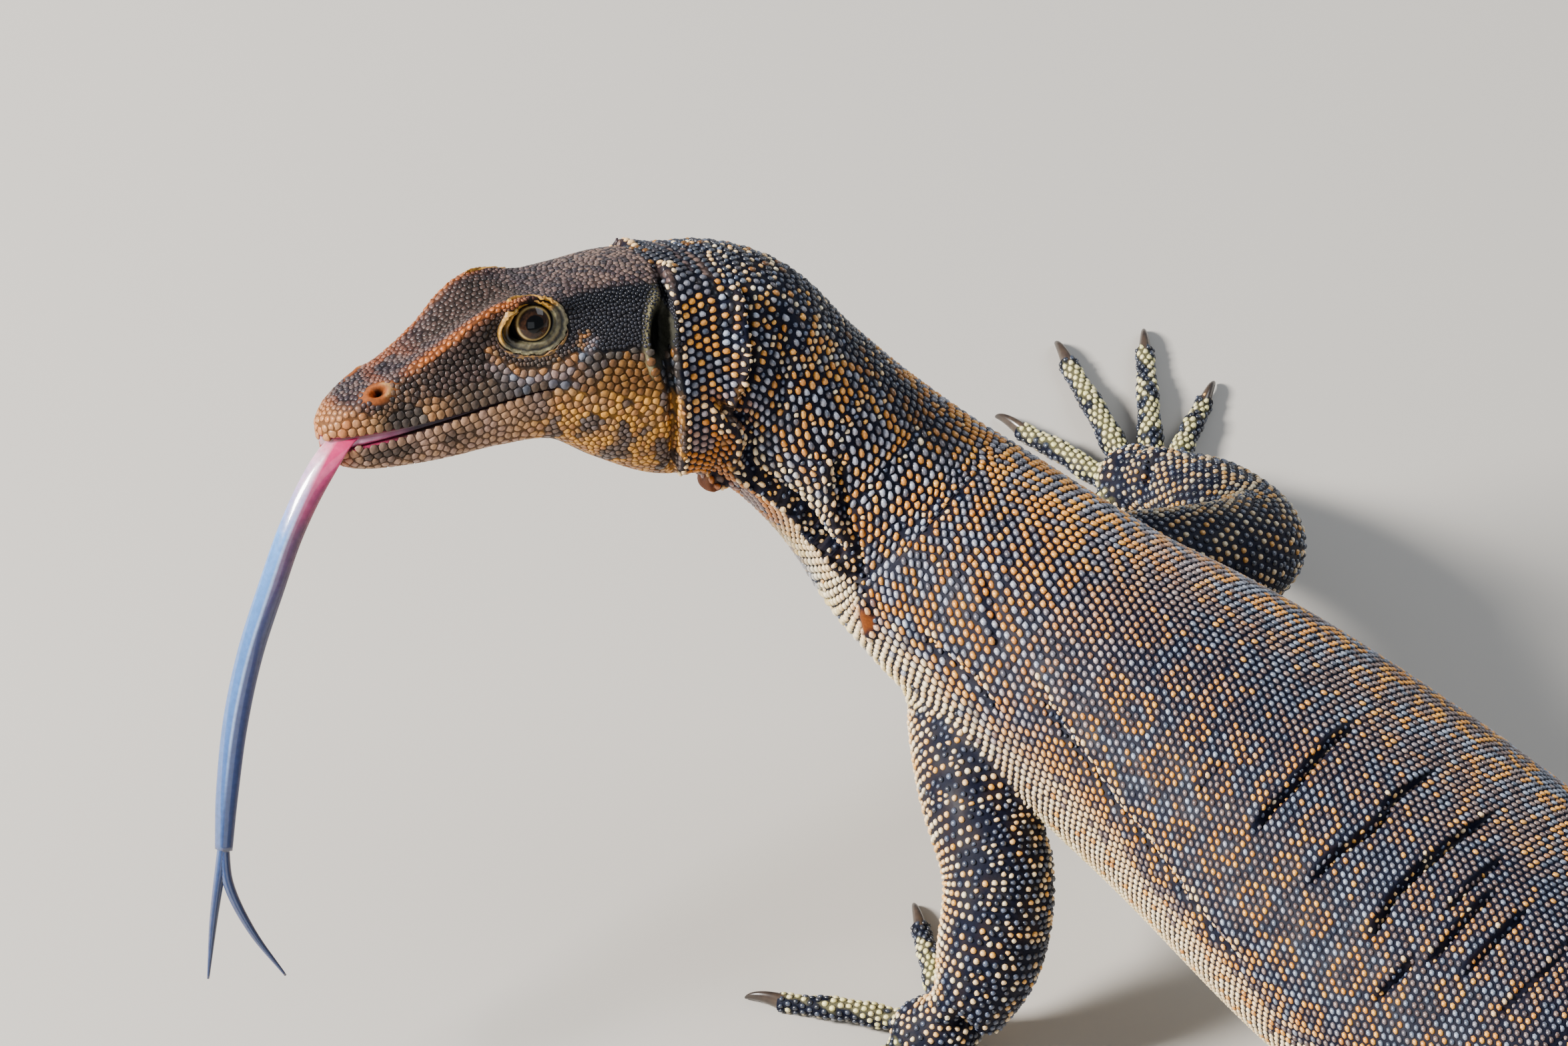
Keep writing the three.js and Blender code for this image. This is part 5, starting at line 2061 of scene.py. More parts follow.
    def flap_away(self, places: Array) -> Array:
        """Where places lie from the smooth flaps under the throat and before the arm.

        Args:
            places: places on the animal.

        Returns:
            Distance from the nearer one, 1 at its edge.
        """
        out = np.full(len(places), 9.0)
        for fold in (FLAP, LAPPET):
            reach, turn = np.array(fold.path)[1:-1].T
            for spot in self.lifted(reach, turn):
                out = np.minimum(out, np.linalg.norm(places - spot, axis=1) / (1.5 * fold.width))
        return out

    def edges(self, reach: Array, place: Array) -> tuple[Array, Array]:
        """Where scales lie on the folds.

        Args:
            reach: distances back.
            place: places on the smooth body.

        Returns:
            How pale each is for lying on an edge, from 0 to 1, partly as a painted highlight, and which lie
            in a crease.
        """
        out = np.zeros(len(place))
        hidden = np.zeros(len(place), bool)
        for fold in self.folds:
            index, away, ends = fold.away(self.body, reach, place)
            mine = bump(away, fold.width * 0.6, fold.width) * (ends > 0.1) * fold.edge
            out[index] = np.maximum(out[index], mine)
            band = 0.45 if fold.width > 1.1 else 0.28
            inside = np.abs(away / fold.width + 0.85) < band
            hidden[index] |= (fold.crease > 1.4) & (ends > 0.5) & inside
        return out, hidden


# Where the scales grow


@dataclass
class Planting:
    """Sets the roots of the scales on every part of the animal.

    Attributes:
        scale_rows: rows of [reach, gap along, gap across, height] for the beads of the body.
        fill_rows: rows of [reach, fill along, fill across].
        bar_fill: change of fill on the lower flank, where beads become upright bars.
        ring_points: points at which a ring of the body is measured.
        bare_tip: length of the tail tip without scales.
        slant: how far the beads lean towards the belly, in degrees.
        leg_fill: fill along and across of a leg's beads.
        toe_fill: the same on the digits.
        tube_rows: gap and height of the beads of limb, stump and digits.
        belly_reach: first and last reach of the belly's plates.
        belly_turn: their first and last turn.
        plate_gap: distance between the plates' rows.
        lip_rises: rows of [height over the lip's edge, gap, piece] for the plates of the lips.
        pieces: the reach at which each piece of the coat ends, from the head back.
        off_skin: how far a root may lie off the skin.
        row_share: share of their usual distance that scales in rows have to keep.
        dart_share: the same for scattered scales.
        free_share: the same between a scattered scale and a row.
        seeds: for the rows' unevenness and for the scattered scales.
    """

    body: BodyShape
    legs: list
    eyes: "EyeShape"
    skin: Skin
    marks: Markings
    scale_rows: tuple = (
        (79.5, 1.9, 1.9, 0.55), (120, 2.25, 2.15, 0.72), (190, 2.1, 2.1, 0.68), (240, 1.75, 1.75, 0.5),
        (500, 1.7, 1.7, 0.46), (560, 1.9, 1.9, 0.46), (640, 2.4, 2.0, 0.45), (900, 2.8, 1.9, 0.42),
        (1380, 2.4, 1.5, 0.3))
    fill_rows: tuple = (
        (82, 0.9, 0.84), (96, 0.98, 0.74), (150, 1.0, 0.7), (200, 0.96, 0.74), (240, 0.98, 0.72),
        (520, 0.96, 0.74), (600, 0.9, 0.8), (1380, 0.92, 0.84))
    bar_fill: tuple = (-0.24, 0.26)
    ring_points: int = 145
    bare_tip: float = 3.0
    slant: float = 28.0
    leg_fill: tuple = (0.72, 0.72)
    toe_fill: tuple = (0.84, 0.86)
    tube_rows: tuple = ((2.1, 0.58), (2.0, 0.5), (1.7, 0.4))
    belly_reach: tuple = (200.0, 545.0)
    belly_turn: tuple = (0.38, 0.62)
    plate_gap: float = 3.3
    lip_rises: tuple = ((1.15, 1.9, Patch.HEAD), (3.0, 1.9, Patch.HEAD), (-1.1, 2.0, Patch.JAW),
                        (-2.9, 2.0, Patch.JAW))
    pieces: tuple = ((90, Patch.HEAD), (208, Patch.NECK), (315, Patch.TRUNK_FRONT), (430, Patch.TRUNK_MIDDLE),
                     (560, Patch.TRUNK_REAR), (800, Patch.TAIL_FRONT))
    off_skin: float = 2.4
    row_share: float = 0.62
    dart_share: float = 0.8
    free_share: float = 0.78
    seeds: tuple = (41, 97)

    def body_rows(self) -> Roots:
        """Transverse rows of beads from the nape to the tail tip."""
        table = np.array(self.scale_rows, float)
        ring_turns = np.linspace(0, 1, self.ring_points)
        reach, number, rows = table[0, 0], 0, []
        while reach < self.body.length - self.bare_tip:
            pitch, across, height = along(table, np.array([reach]))[0]
            ring = self.body.plain(np.full(self.ring_points, reach), ring_turns)
            arc = np.concatenate([[0], np.cumsum(np.linalg.norm(np.diff(ring, axis=0), axis=1))])
            girth = arc[-1]
            count = max(6, 4 * round(girth / across / 4))
            share = (np.arange(count) + 0.5 * (number % 2)) / count
            turn = np.interp(share * girth, arc, ring_turns)
            same = np.tile([reach, pitch, girth / count, height], (count, 1))
            rows.append(np.column_stack([turn, (share - np.round(share)) * girth, same]))
            reach += pitch
            number += 1
        table = np.concatenate(rows)
        turn, reach = table[:, 0], table[:, 2]
        (first, last), (start, end) = self.belly_turn, self.belly_reach
        belly = (turn > first) & (turn < last) & (reach > start) & (reach < end)
        chin = (reach < 86) & (turn > 0.42) & (turn < 0.58)
        turn, arc, reach, pitch, across, height = table[~belly & ~chin].T
        fill = along(np.array(self.fill_rows, float), reach)
        barred = smooth(0.5, 0.6, lowness(turn)) * smooth(140, 190, reach) * smooth(560, 520, reach)
        fill = fill + barred[:, None] * self.bar_fill
        return self.body_roots(reach, turn, arc, np.sqrt(pitch * across), height, fill, 0.0)

    def belly_rows(self) -> Roots:
        """Wide flat plates in rows under the belly."""
        low, high = self.belly_turn
        turns = np.linspace(low + 0.003, high - 0.003, 25)
        reach, turn = pairs(np.arange(*self.belly_reach, self.plate_gap), turns)
        full = np.ones(len(reach))
        arc = (turn - 0.5) * 230 + 115
        return self.body_roots(reach, turn, arc, 2.9 * full, 0.35 * full, (0.95, 0.93), 0.7)

    def body_roots(self, reach: Array, turn: Array, arc: Array, size: Array, height: Array,
                   fill: Array, flat: float) -> Roots:
        """Roots on the body.

        Args:
            reach: distances back.
            turn: places round the body.
            arc: distances round from the middle of the back.
            size: usual distance of each to the next.
            height: how far each stands out.
            fill: shares of the cells that they fill, along and across.
            flat: 0 for beads, and over 0.5 for the belly's plates.

        Returns:
            The roots, without those in the creases of the folds.
        """
        reach = reach + np.random.default_rng(self.seeds[0]).normal(0, 0.05, len(reach)) * size
        plain = self.body.plain(reach, turn)
        place = self.skin.lifted(reach, turn)
        lie = unit(self.body.plain(reach + 1, turn) - self.body.plain(reach - 1, turn))
        down = unit(self.body.sideways(reach, turn)) * np.where(turn < 0.5, 1, -1)[:, None]
        low = lowness(turn)
        slant = math.radians(self.slant) * smooth(92, 104, reach) * smooth(580, 520, reach)
        slant = (slant * smooth(0.0, 0.08, low) * smooth(0.58, 0.46, low))[:, None]
        lie = lie * np.cos(slant) + down * np.sin(slant)
        pale, hidden = self.skin.edges(reach, plain)
        tint = self.marks.body(reach, arc, turn, plain, pale)
        ends = [end for end, _ in self.pieces]
        index = np.searchsorted(ends, reach)
        numbers = [*(patch.number for _, patch in self.pieces), Patch.TAIL_REAR.number]
        patch = Patch.BELLY.number if flat > 0.5 else np.array(numbers)[index]
        limits = np.array([0, *ends, self.body.length])
        share = (reach - limits[index]) / (limits[index + 1] - limits[index])
        spot = np.column_stack([share, turn % 1.0]) * 0.96 + 0.02
        return Roots.alike(place, lie, tint, spot, patch, size, fill, height, flat).only(~hidden)

    def leg_rows(self, leg: LegShape, patch: Patch) -> list[Roots]:
        """Rings of beads down one leg and its digits.

        Args:
            leg: the leg's shape.
            patch: its piece of the coat.

        Returns:
            The roots of each of its tubes.
        """
        made = []
        near = leg.plan.hand is Hand.LEFT
        wider = 0.15 if leg.limb.radius.max() > 15 else 0.0
        for number, tube in enumerate((leg.limb, leg.stump, *leg.digits)):
            toe = number > 1
            pitch, height = self.tube_rows[min(number, 2)]
            pitch = pitch + wider
            place, turn = self.rings(tube, pitch)
            spots = tube.surface(place, turn, leg.swell * toe)
            out = unit(spots - tube.read(tube.centre, place))
            # The far legs are painted in shade: their colours at 0.6 and fewer pale scales on their front
            top, front = out[:, 2], -out[:, 0] * (1.0 if near else 0.35)
            tint = self.marks.leg(spots, top, front, toe) * (1.0 if near or toe else 0.6)
            island = np.array([number % 4, number // 4]) / [4, 2]
            unwrap = island + np.column_stack([place / tube.length, turn % 1.0]) * [0.24, 0.48] + 0.005
            wide = 0.26 * smooth(0.2, 0.6, front) * (not toe)
            fill = np.array(self.toe_fill if toe else self.leg_fill) + wide[:, None] * [0.0, 1.0]
            lie = unit(tube.read(tube.direction, place))
            flat = 0.35 * smooth(0.2, 0.8, top) * toe
            made.append(Roots.alike(spots, lie, tint, unwrap, patch.number, pitch, fill, height, flat))
        return made

    def rings(self, tube: Tube, pitch: float) -> tuple[Array, Array]:
        """Where beads stand on a tube.

        Args:
            tube: the tube.
            pitch: distance from ring to ring, and round each ring.

        Returns:
            Their distances along it, and their turns round it.
        """
        rows = []
        for row, place in enumerate(np.arange(1.0, tube.length, pitch)):
            radius = float(np.interp(place, tube.places, tube.radius))
            count = max(6, 2 * round(math.pi * radius / pitch))
            rows.append([np.full(count, place), (np.arange(count) + 0.5 * (row % 2)) / count])
        place, turn = np.concatenate(rows, axis=1)
        return place, turn

    def lip_rows(self) -> Roots:
        """Two rows of square plates along each lip."""
        head, parts = self.body.head, []
        turns = np.linspace(0.15, 0.45, 61)
        for row, (rise, pitch, patch) in enumerate(self.lip_rises):
            back = np.arange(3.4 + 0.95 * (row % 2), head.mouth_corner - 1, pitch)
            want = (head.lip_height(back) if rise > 0 else head.lower_lip_height(back)) + rise
            many_backs, many_turns = pairs(back, turns)
            grid = head.section(many_backs, many_turns)[:, 1].reshape(len(back), -1)
            left = np.array([np.interp(-w, -g, turns) for w, g in zip(want, grid)])
            for turn in (left, 1 - left):
                place = head.surface(back, turn)
                lie = np.tile(-head.forward, (len(back), 1))
                tint = self.marks.head(head.own(place), head, self.eyes)
                spot = np.column_stack([back / 90, turn]) * 0.96 + 0.02
                parts.append(Roots.alike(place, lie, tint, spot, patch.number, 1.9, (0.96, 0.97), 0.1, 0.9))
        return Roots.stack(parts)

    def palm_gaps(self, places: Array) -> Array:
        """Distances of places from the middle of each palm, one row a leg."""
        return np.array([np.linalg.norm(places - leg.plan.palm_at, axis=1) for leg in self.legs])

    def spacing(self, places: Array) -> Array:
        """Distance that scales keep on skin not yet covered.

        Args:
            places: places on the skin.

        Returns:
            A distance for each, or 0 where none grow.
        """
        head = self.body.head
        own = head.own(places)
        back, up = own[:, 0], own[:, 2]
        cheek_up = head.rail(Rail.CHEEK, back)[:, 1]
        lip_up = head.lip_height(back)
        under = up < head.rail(Rail.BROW, back)[:, 1] - 1
        away = self.eyes.away(own)
        out = np.where(back > 38, 1.2, 1.25)
        for there, gap in ((under & (back < 50), 1.35),
                           (under & (back > 52) & (up > cheek_up + 1.5), 0.8),
                           (up < cheek_up + 1.5, 1.8),
                           (up < lip_up - 3, 1.6),
                           ((up < lip_up - 6) & (back > 50), 1.3),
                           (back > 79, 1.7),
                           (away < 9.3, 0.85)):
            out = np.where(there, gap, out)
        nose, rim, _ = self.skin.nose_away(own)
        out = np.where(nose < 4.5, np.minimum(out, 1.05), out)
        lips = (up < lip_up + 0.12) & (up > head.lower_lip_height(back) - 0.12) & (back < head.mouth_corner)
        eye = away < 7.1 + 0.6 * (up < self.eyes.up)
        bare = lips | eye | (self.skin.ear_away(own)[0] < 1.05) | (rim < 1.75) | (nose < 3.0)
        elsewhere = np.where(self.palm_gaps(places).min(0) < 30, 1.8, np.where(back < 190, 1.75, 2.0))
        out = np.where(head.holds(places, 90), np.where(bare, 0, out), elsewhere)
        return np.where(self.skin.flap_away(places) < 1.0, 0, out)

    def darts(self, surface: tuple[Array, Array], taken: Roots, coat: Coat, tree: BVHTree) -> Roots:
        """Scales in no order on all the skin that the rows leave bare.

        Args:
            surface: points and triangles of the skin.
            taken: roots that already have their place.
            coat: the coat, for thinning.
            tree: the skin, for bringing roots onto it.

        Returns:
            The new roots.
        """
        points, triangles = surface
        rng = np.random.default_rng(self.seeds[1])
        a, b, c = (points[triangles[:, k]] for k in range(3))
        area = np.linalg.norm(np.cross(b - a, c - a), axis=1) / 2
        gap = self.spacing((a + b + c) / 3)
        density = np.where(gap > 0, 9.0 / np.maximum(gap, 0.5) ** 2, 0)
        pick = np.repeat(np.arange(len(area)), rng.poisson(area * density))
        u, v = rng.random((2, len(pick)))
        flip = u + v > 1
        u, v = np.where(flip, 1 - u, u), np.where(flip, 1 - v, v)
        spots = a[pick] + (b - a)[pick] * u[:, None] + (c - a)[pick] * v[:, None]
        space = self.spacing(spots)
        taken_tree = tree_of(taken.place)
        free = np.array([s > 0 and taken_tree.find(p)[2] > self.free_share * s for p, s in zip(spots, space)])
        spots, space = spots[free], space[free]
        order = rng.permutation(len(spots))
        spots, space = spots[order], space[order]
        chosen, sizes = np.empty((0, 3)), np.empty(0)
        for batch in np.array_split(np.arange(len(spots)), 10):
            p, s = spots[batch], space[batch]
            if len(chosen):
                have = tree_of(chosen)
                far = np.array([have.find(q)[2] > self.dart_share * t for q, t in zip(p, s)])
                p, s = p[far], s[far]
            if len(p) == 0:
                continue
            keep = coat.thinned(p, s, self.dart_share)
            chosen, sizes = np.concatenate([chosen, p[keep]]), np.concatenate([sizes, s[keep]])
        return self.painted(self.relaxed(chosen, sizes, tree), sizes)

    def relaxed(self, places: Array, sizes: Array, tree: BVHTree) -> Array:
        """Places moved apart until they lie evenly, and brought back onto the skin.

        Args:
            places: places of scales.
            sizes: distance that each keeps.
            tree: the skin.

        Returns:
            The new places.
        """
        for _ in range(3):
            near = tree_of(places)
            index = np.array([[j for _, j, _ in near.find_n(p, 7)] for p in places])[:, 1:]
            away = places[:, None] - places[index]
            gap = np.linalg.norm(away, axis=-1, keepdims=True)
            want = 1.05 * sizes[:, None, None]
            push = np.maximum(0, want - gap) / want * away / np.maximum(gap, 0.05)
            places = places + push.sum(1) * sizes[:, None] * 0.22
            places = np.array([tree.find_nearest(p)[0] for p in places])
        return places

    def painted(self, places: Array, sizes: Array) -> Roots:
        """Roots for scattered scales, in the colours of where they are.

        Args:
            places: places of the scales.
            sizes: distance that each keeps.

        Returns:
            The roots.
        """
        head = self.body.head
        own = head.own(places)
        on_head = head.holds(places, 92)
        there = on_head[:, None]
        tint = self.marks.leg(places, np.full(len(places), 0.2), np.zeros(len(places)), False)
        tint[on_head] = self.marks.head(own[on_head], head, self.eyes)
        lie = unit(np.where(there, -head.forward, np.array([0.6, 0.3, -0.2])))
        height = np.where(on_head, 0.05 + 0.07 * sizes, 0.45)
        flat = np.where(on_head, 0.7, 0.0)
        fill = np.where(there, (0.94, 0.94), (0.72, 0.76))
        nearest = self.palm_gaps(places).argmin(0)
        on_legs = np.array([patch.number for patch in LEG_PATCHES])[nearest]
        lower = own[:, 2] < head.lip_height(own[:, 0])
        patch = np.where(on_head, np.where(lower, Patch.JAW.number, Patch.HEAD.number), on_legs)
        palms = np.array([leg.plan.palm_at for leg in self.legs])[nearest]
        around = np.arctan2(own[:, 1], own[:, 2]) / (2 * np.pi) % 1.0
        spot = np.where(there, np.column_stack([own[:, 0] / 92, around]), 0.5 + (places - palms)[:, :2] / 200)
        return Roots.alike(places, lie, tint, np.clip(spot, 0.01, 0.98), patch, sizes, fill, height, flat)

    def plant(self, piece: Piece, coat: Coat) -> tuple[Roots, Array]:
        """All the roots of the coat, on the skin.

        Args:
            piece: the skin.
            coat: the coat.

        Returns:
            The roots, and the skin's normals there.
        """
        tree = self.skin.tree(piece)
        rows = [self.lip_rows(), self.belly_rows(), self.body_rows()]
        for leg, patch in zip(self.legs, LEG_PATCHES):
            rows += self.leg_rows(leg, patch)
        roots, _ = coat.settle(Roots.stack(rows), tree, self.off_skin)
        own = self.body.head.own(roots.place)
        roots = roots.only((self.spacing(roots.place) > 0) | (own[:, 0] > 190))
        roots = roots.only(coat.thinned(roots.place, roots.size, self.row_share))
        scattered = self.darts(self.skin.surface(piece), roots, coat, tree)
        log.info("rows: %d, scattered: %d", len(roots.place), len(scattered.place))
        return coat.settle(Roots.stack([roots, scattered]), tree, self.off_skin)


# Eyes, mouth, tongue and claws


@dataclass
class EyeShape:
    """The eyes and the lids round them.

    Attributes:
        back, side, up: place of the left eye's middle on the head.
        radius: radius of the ball.
        out: the way that it looks, as parts back, to its side and up.
        stretch: how much longer and lower than round the lids are.
        corner: bearing of the corner in front, in degrees.
        point: how far the lids reach into that corner.
        pupil, iris, ring: radii of the pupil, the iris and the pale ring round it.
        brow: height at which the lids turn in under the brow.
        rim: radius of the lids' inner edge.
        wrap: radius from which the lids lie on the skin.
        seat: greatest radius at which they lie on the ball.
        lines: radii of the dark lines between their ridges.
        balls: rings and sides of a ball.
        lid_sides: number of points round the lids.
    """

    back: float = 49.2
    side: float = 8.7
    up: float = 15.0
    radius: float = 5.0
    out: tuple = (-0.16, 0.97, 0.16)
    stretch: tuple = (1.06, 0.95)
    corner: float = -25.0
    point: float = 0.2
    pupil: float = 1.95
    iris: float = 3.35
    ring: float = 3.75
    brow: float = 5.4
    rim: float = 4.15
    wrap: float = 6.4
    seat: float = 4.6
    lines: tuple = (5.65, 7.0)
    balls: tuple = (120, 96)
    lid_sides: int = 132

    def axes(self, head: HeadShape, hand: Hand) -> tuple[Array, Array, Array, Array]:
        """The place and the axes of one eye.

        Args:
            head: the head's shape.
            hand: the side of the eye.

        Returns:
            Middle of the ball, the way that it looks, the way forward and the way up.
        """
        look = head.way(self.out[0], self.out[1] * hand.value, self.out[2])
        rise = unit(head.upward - look * (head.upward @ look))
        ahead = np.cross(rise, look) * hand.value
        if ahead @ head.forward < 0:
            ahead = -ahead
        return head.point(self.back, self.side * hand.value, self.up), look, ahead, rise

    def shape(self, r: Array, a: Array) -> Array:
        """How much further the rings of the lids reach towards the corner in front."""
        corner = np.maximum(0, np.cos(a - math.radians(self.corner))) ** 8
        return 1 + self.point * corner * smooth(10, 5, r)

    def away(self, own: Array) -> Array:
        """Ring of the lids that places lie on.

        Args:
            own: distances back, left and up.

        Returns:
            The ring's radius for each place, far off on the middle of the head.
        """
        x = (self.back - own[:, 0]) / self.stretch[0]
        y = own[:, 2] - self.up
        inward = np.maximum(0, self.side + 3.6 - np.abs(own[:, 1])) * smooth(2.0, 3.6, y)
        y = (y + inward) / self.stretch[1]
        real, a = np.hypot(x, y), np.arctan2(y, x)
        ring = real / self.shape(real / 1.2, a)
        ring = real / self.shape(ring, a)
        return np.where(np.abs(own[:, 1]) > 4, ring, 99.0)

    def ball(self, head: HeadShape, hand: Hand, placing: Placing, finish: Finish) -> Piece:
        """One eyeball with its pupil, iris and pale ring.

        Args:
            head: the head's shape.
            hand: the side of the eye.
            placing: the frame's placing.
            finish: its material.

        Returns:
            The eyeball.
        """
        centre, look, ahead, rise = self.axes(head, hand)
        count, sides = self.balls
        t, a = (v[:, None] for v in pairs(np.linspace(0.01, math.pi - 0.01, count), turns_of(sides)))
        bulge = self.radius * (1 + 0.035 * np.exp(-((t / 0.55) ** 2)))
        rings = centre + bulge * (look * np.cos(t) + ahead * (np.sin(t) * np.cos(a))
                                  + rise * (np.sin(t) * np.sin(a)))
        made, points = placing.solid(hand.called("eyeball"), rings.reshape(count, sides, 3))
        offset = points - centre
        depth = offset @ look
        away = np.linalg.norm(offset - depth[:, None] * look, axis=1)
        tint = layered(
            blend(linear("150c08"), linear("3a2314"), cloud(unit(offset) * 40, 2.4, 31)),
            ("0b0807", smooth(self.ring, self.ring + 0.35, away)),
            ("b0965e", bump(away, (self.iris + self.ring) / 2, 0.2)),
            ("010102", smooth(self.pupil + 0.15, self.pupil - 0.1, away)),
        )
        tint[depth <= 0] = linear("0f0b0a")
        return finished(made, tint, finish, "eye", hand.called("eye"))

    def spread(self, ring: Array, a: Array) -> tuple[Array, Array, Array]:
        """How far points of the lids' rings reach, and how far ahead and up they are."""
        reach = ring * self.shape(ring, a)
        return reach, reach * np.cos(a) * self.stretch[0], reach * np.sin(a) * self.stretch[1]

    def lids(self, head: HeadShape, hand: Hand, skin: BVHTree, placing: Placing, finish: Finish) -> Piece:
        """The two folded rings of lid round one eye, their outer edge sunk in the skin.

        Args:
            head: the head's shape.
            hand: the side of the eye.
            skin: the skin.
            placing: the frame's placing.
            finish: their material.

        Returns:
            The lids.
        """
        centre, look, ahead, rise = self.axes(head, hand)
        radii = np.concatenate([np.linspace(self.rim, 7.8, 56), np.linspace(7.95, 9.6, 12)])
        r, a = np.meshgrid(radii, turns_of(self.lid_sides), indexing="ij")
        _, x, y = self.spread(np.maximum(r, self.wrap), a)
        over = np.maximum(0, y - self.brow)
        y = np.minimum(y, self.brow) + 1.2 * smooth(0, 0.7, over)
        start = centre + look * (4 - over)[..., None] + ahead * x[..., None] + rise * y[..., None]
        found = [skin.find_nearest(Vector(p)) for p in start.reshape(-1, 3)]
        outer, out = (np.array([f[k] for f in found]).reshape(*r.shape, 3) for k in (0, 1))
        reach, x, y = self.spread(np.full_like(r, self.rim), a)
        level = np.sqrt(self.radius**2 - np.minimum(reach, self.seat) ** 2)
        inner = centre + ahead * x[..., None] + rise * y[..., None] + look * (level - 0.12)[..., None]
        share = smooth(-0.15, 1.15, (r - self.rim) / (self.wrap - self.rim))[..., None]
        share = (share - share.min()) / max(share.max() - share.min(), 1e-6)
        share = np.where(r[..., None] >= self.wrap, 1.0, share)
        way = unit(look * (1 - share) + out * share)
        crown = smooth(-0.4, 0.5, np.cos(a - math.radians(60)))
        low = smooth(0.1, 0.9, -np.sin(a))
        lift = self.lid_relief(r, crown, low, smooth(0, 0.8, over))
        rings = inner * (1 - share) + outer * share + way * lift[..., None]
        points, faces = closed_band(np.concatenate([rings, rings[::-1] - way[::-1] * 0.8]))
        made = placing.piece(hand.called("lids"), points, faces)
        both = [np.concatenate([v, v[::-1]]).ravel() for v in (r, a, crown, low)]
        return finished(made, self.lid_tint(points, *both), finish, "head_skin")

    def lid_relief(self, r: Array, crown: Array, low: Array, wrapped: Array) -> Array:
        """How far the lids stand out: two ridges with lines between, and a sunk outer edge.

        Args:
            r: radii of their points.
            crown: 1 above and in front, 0 behind and below.
            low: 1 below, 0 above.
            wrapped: 1 where they are turned in under the brow.

        Returns:
            A height for each point.
        """
        first, second = self.lines
        return ((0.6 + 0.35 * crown) * bump(r, 4.95, 0.42) - (0.1 + 0.25 * crown) * bump(r, first, 0.22)
                + (0.25 + 0.6 * crown) * (1 - 0.75 * wrapped) * bump(r, 6.3, 0.5) - 0.2 * bump(r, second, 0.2)
                + 0.3 * bump(r, 7.5, 0.28) * low - 0.6 * smooth(6.9 + 1.4 * low, 8.0 + 1.6 * low, r))

    def lid_tint(self, points: Array, r: Array, a: Array, crown: Array, low: Array) -> Array:
        """Golden ridges above and in front, olive ones behind and below, dark lines between, and painted
        shade where the lids meet the ball and in the front corner.

        Args:
            points: points of the lids.
            r: their radii.
            a: their bearings.
            crown: 1 above and in front, 0 behind and below.
            low: 1 below, 0 above.

        Returns:
            One colour a row.
        """
        fine = cloud(points, 0.6, 51)
        first, second = self.lines
        outside = blend(linear("3a2c2a"), linear("9a7038"), low * smooth(0.3, 0.6, fine))
        corner = np.maximum(0, np.cos(a - math.radians(self.corner))) ** 6
        return layered(
            blend(linear("8e8560"), linear("4a4438"), fine),
            (blend(linear("dfa63f"), linear("9a6c2e"), fine), smooth(0.25, 0.75, crown)),
            ("120d09", np.maximum(bump(r, first, 0.26), 0.9 * bump(r, second, 0.2)) * 0.92),
            (outside, smooth(6.9, 7.3, r)),
            # Painted shade at the inner edge against the ball and in the front corner
            ("0a0706", np.maximum(smooth(4.5, 4.25, r), corner * smooth(6.0, 5.2, r))),
        )


@dataclass
class Mouth:
    """The wet lining seen between the lips."""

    head: HeadShape
    start: float = 3.2
    end: float = 50.0
    recess: float = 1.0
    overlap: float = 0.7
    widest_turn: float = 4 / 14
    rings: int = 70
    sides: int = 64

    def build(self, placing: Placing, finish: Finish) -> Piece:
        """The lining: an upper gum darkened as painted shade under the upper lip and a pale pink lower one,
        partly a painted highlight, that meet in a crease.

        Args:
            placing: the frame's placing.
            finish: its material.

        Returns:
            The lining.
        """
        head = self.head
        backs = np.linspace(self.start, self.end, self.rings)
        b, a = np.meshgrid(backs, turns_of(self.sides), indexing="ij")
        wide = head.section(backs, np.full(len(backs), self.widest_turn))[:, 0] - self.recess
        upper = head.lip_height(backs) + self.overlap
        lower = head.lower_lip_height(backs) - self.overlap
        middle, half = (upper * 0.6 + lower * 0.4)[:, None], ((upper - lower) / 2)[:, None]
        crease = 1 - 0.05 * np.exp(-((np.sin(a) / 0.22) ** 2))
        side = wide[:, None] * power(np.cos(a), 0.5) * crease
        up = middle + half * power(np.sin(a), 0.8)
        made, points = placing.solid("mouth_lining", head.point(b, side, up))
        own = head.own(points)
        tint = layered(
            blend(linear("d98ba8"), linear("b85a86"), cloud(own, 1.6, 61)),
            # Painted shade on the upper half, under the upper lip
            ("7a1138", smooth(-0.25, 0.35, own[:, 2] - np.interp(own[:, 0], backs, middle[:, 0]))),
            # Painted shade deeper in the mouth
            ("2a1718", smooth(14, 22, own[:, 0]) * 0.95),
        )
        return finished(made, tint, finish, "tongue")


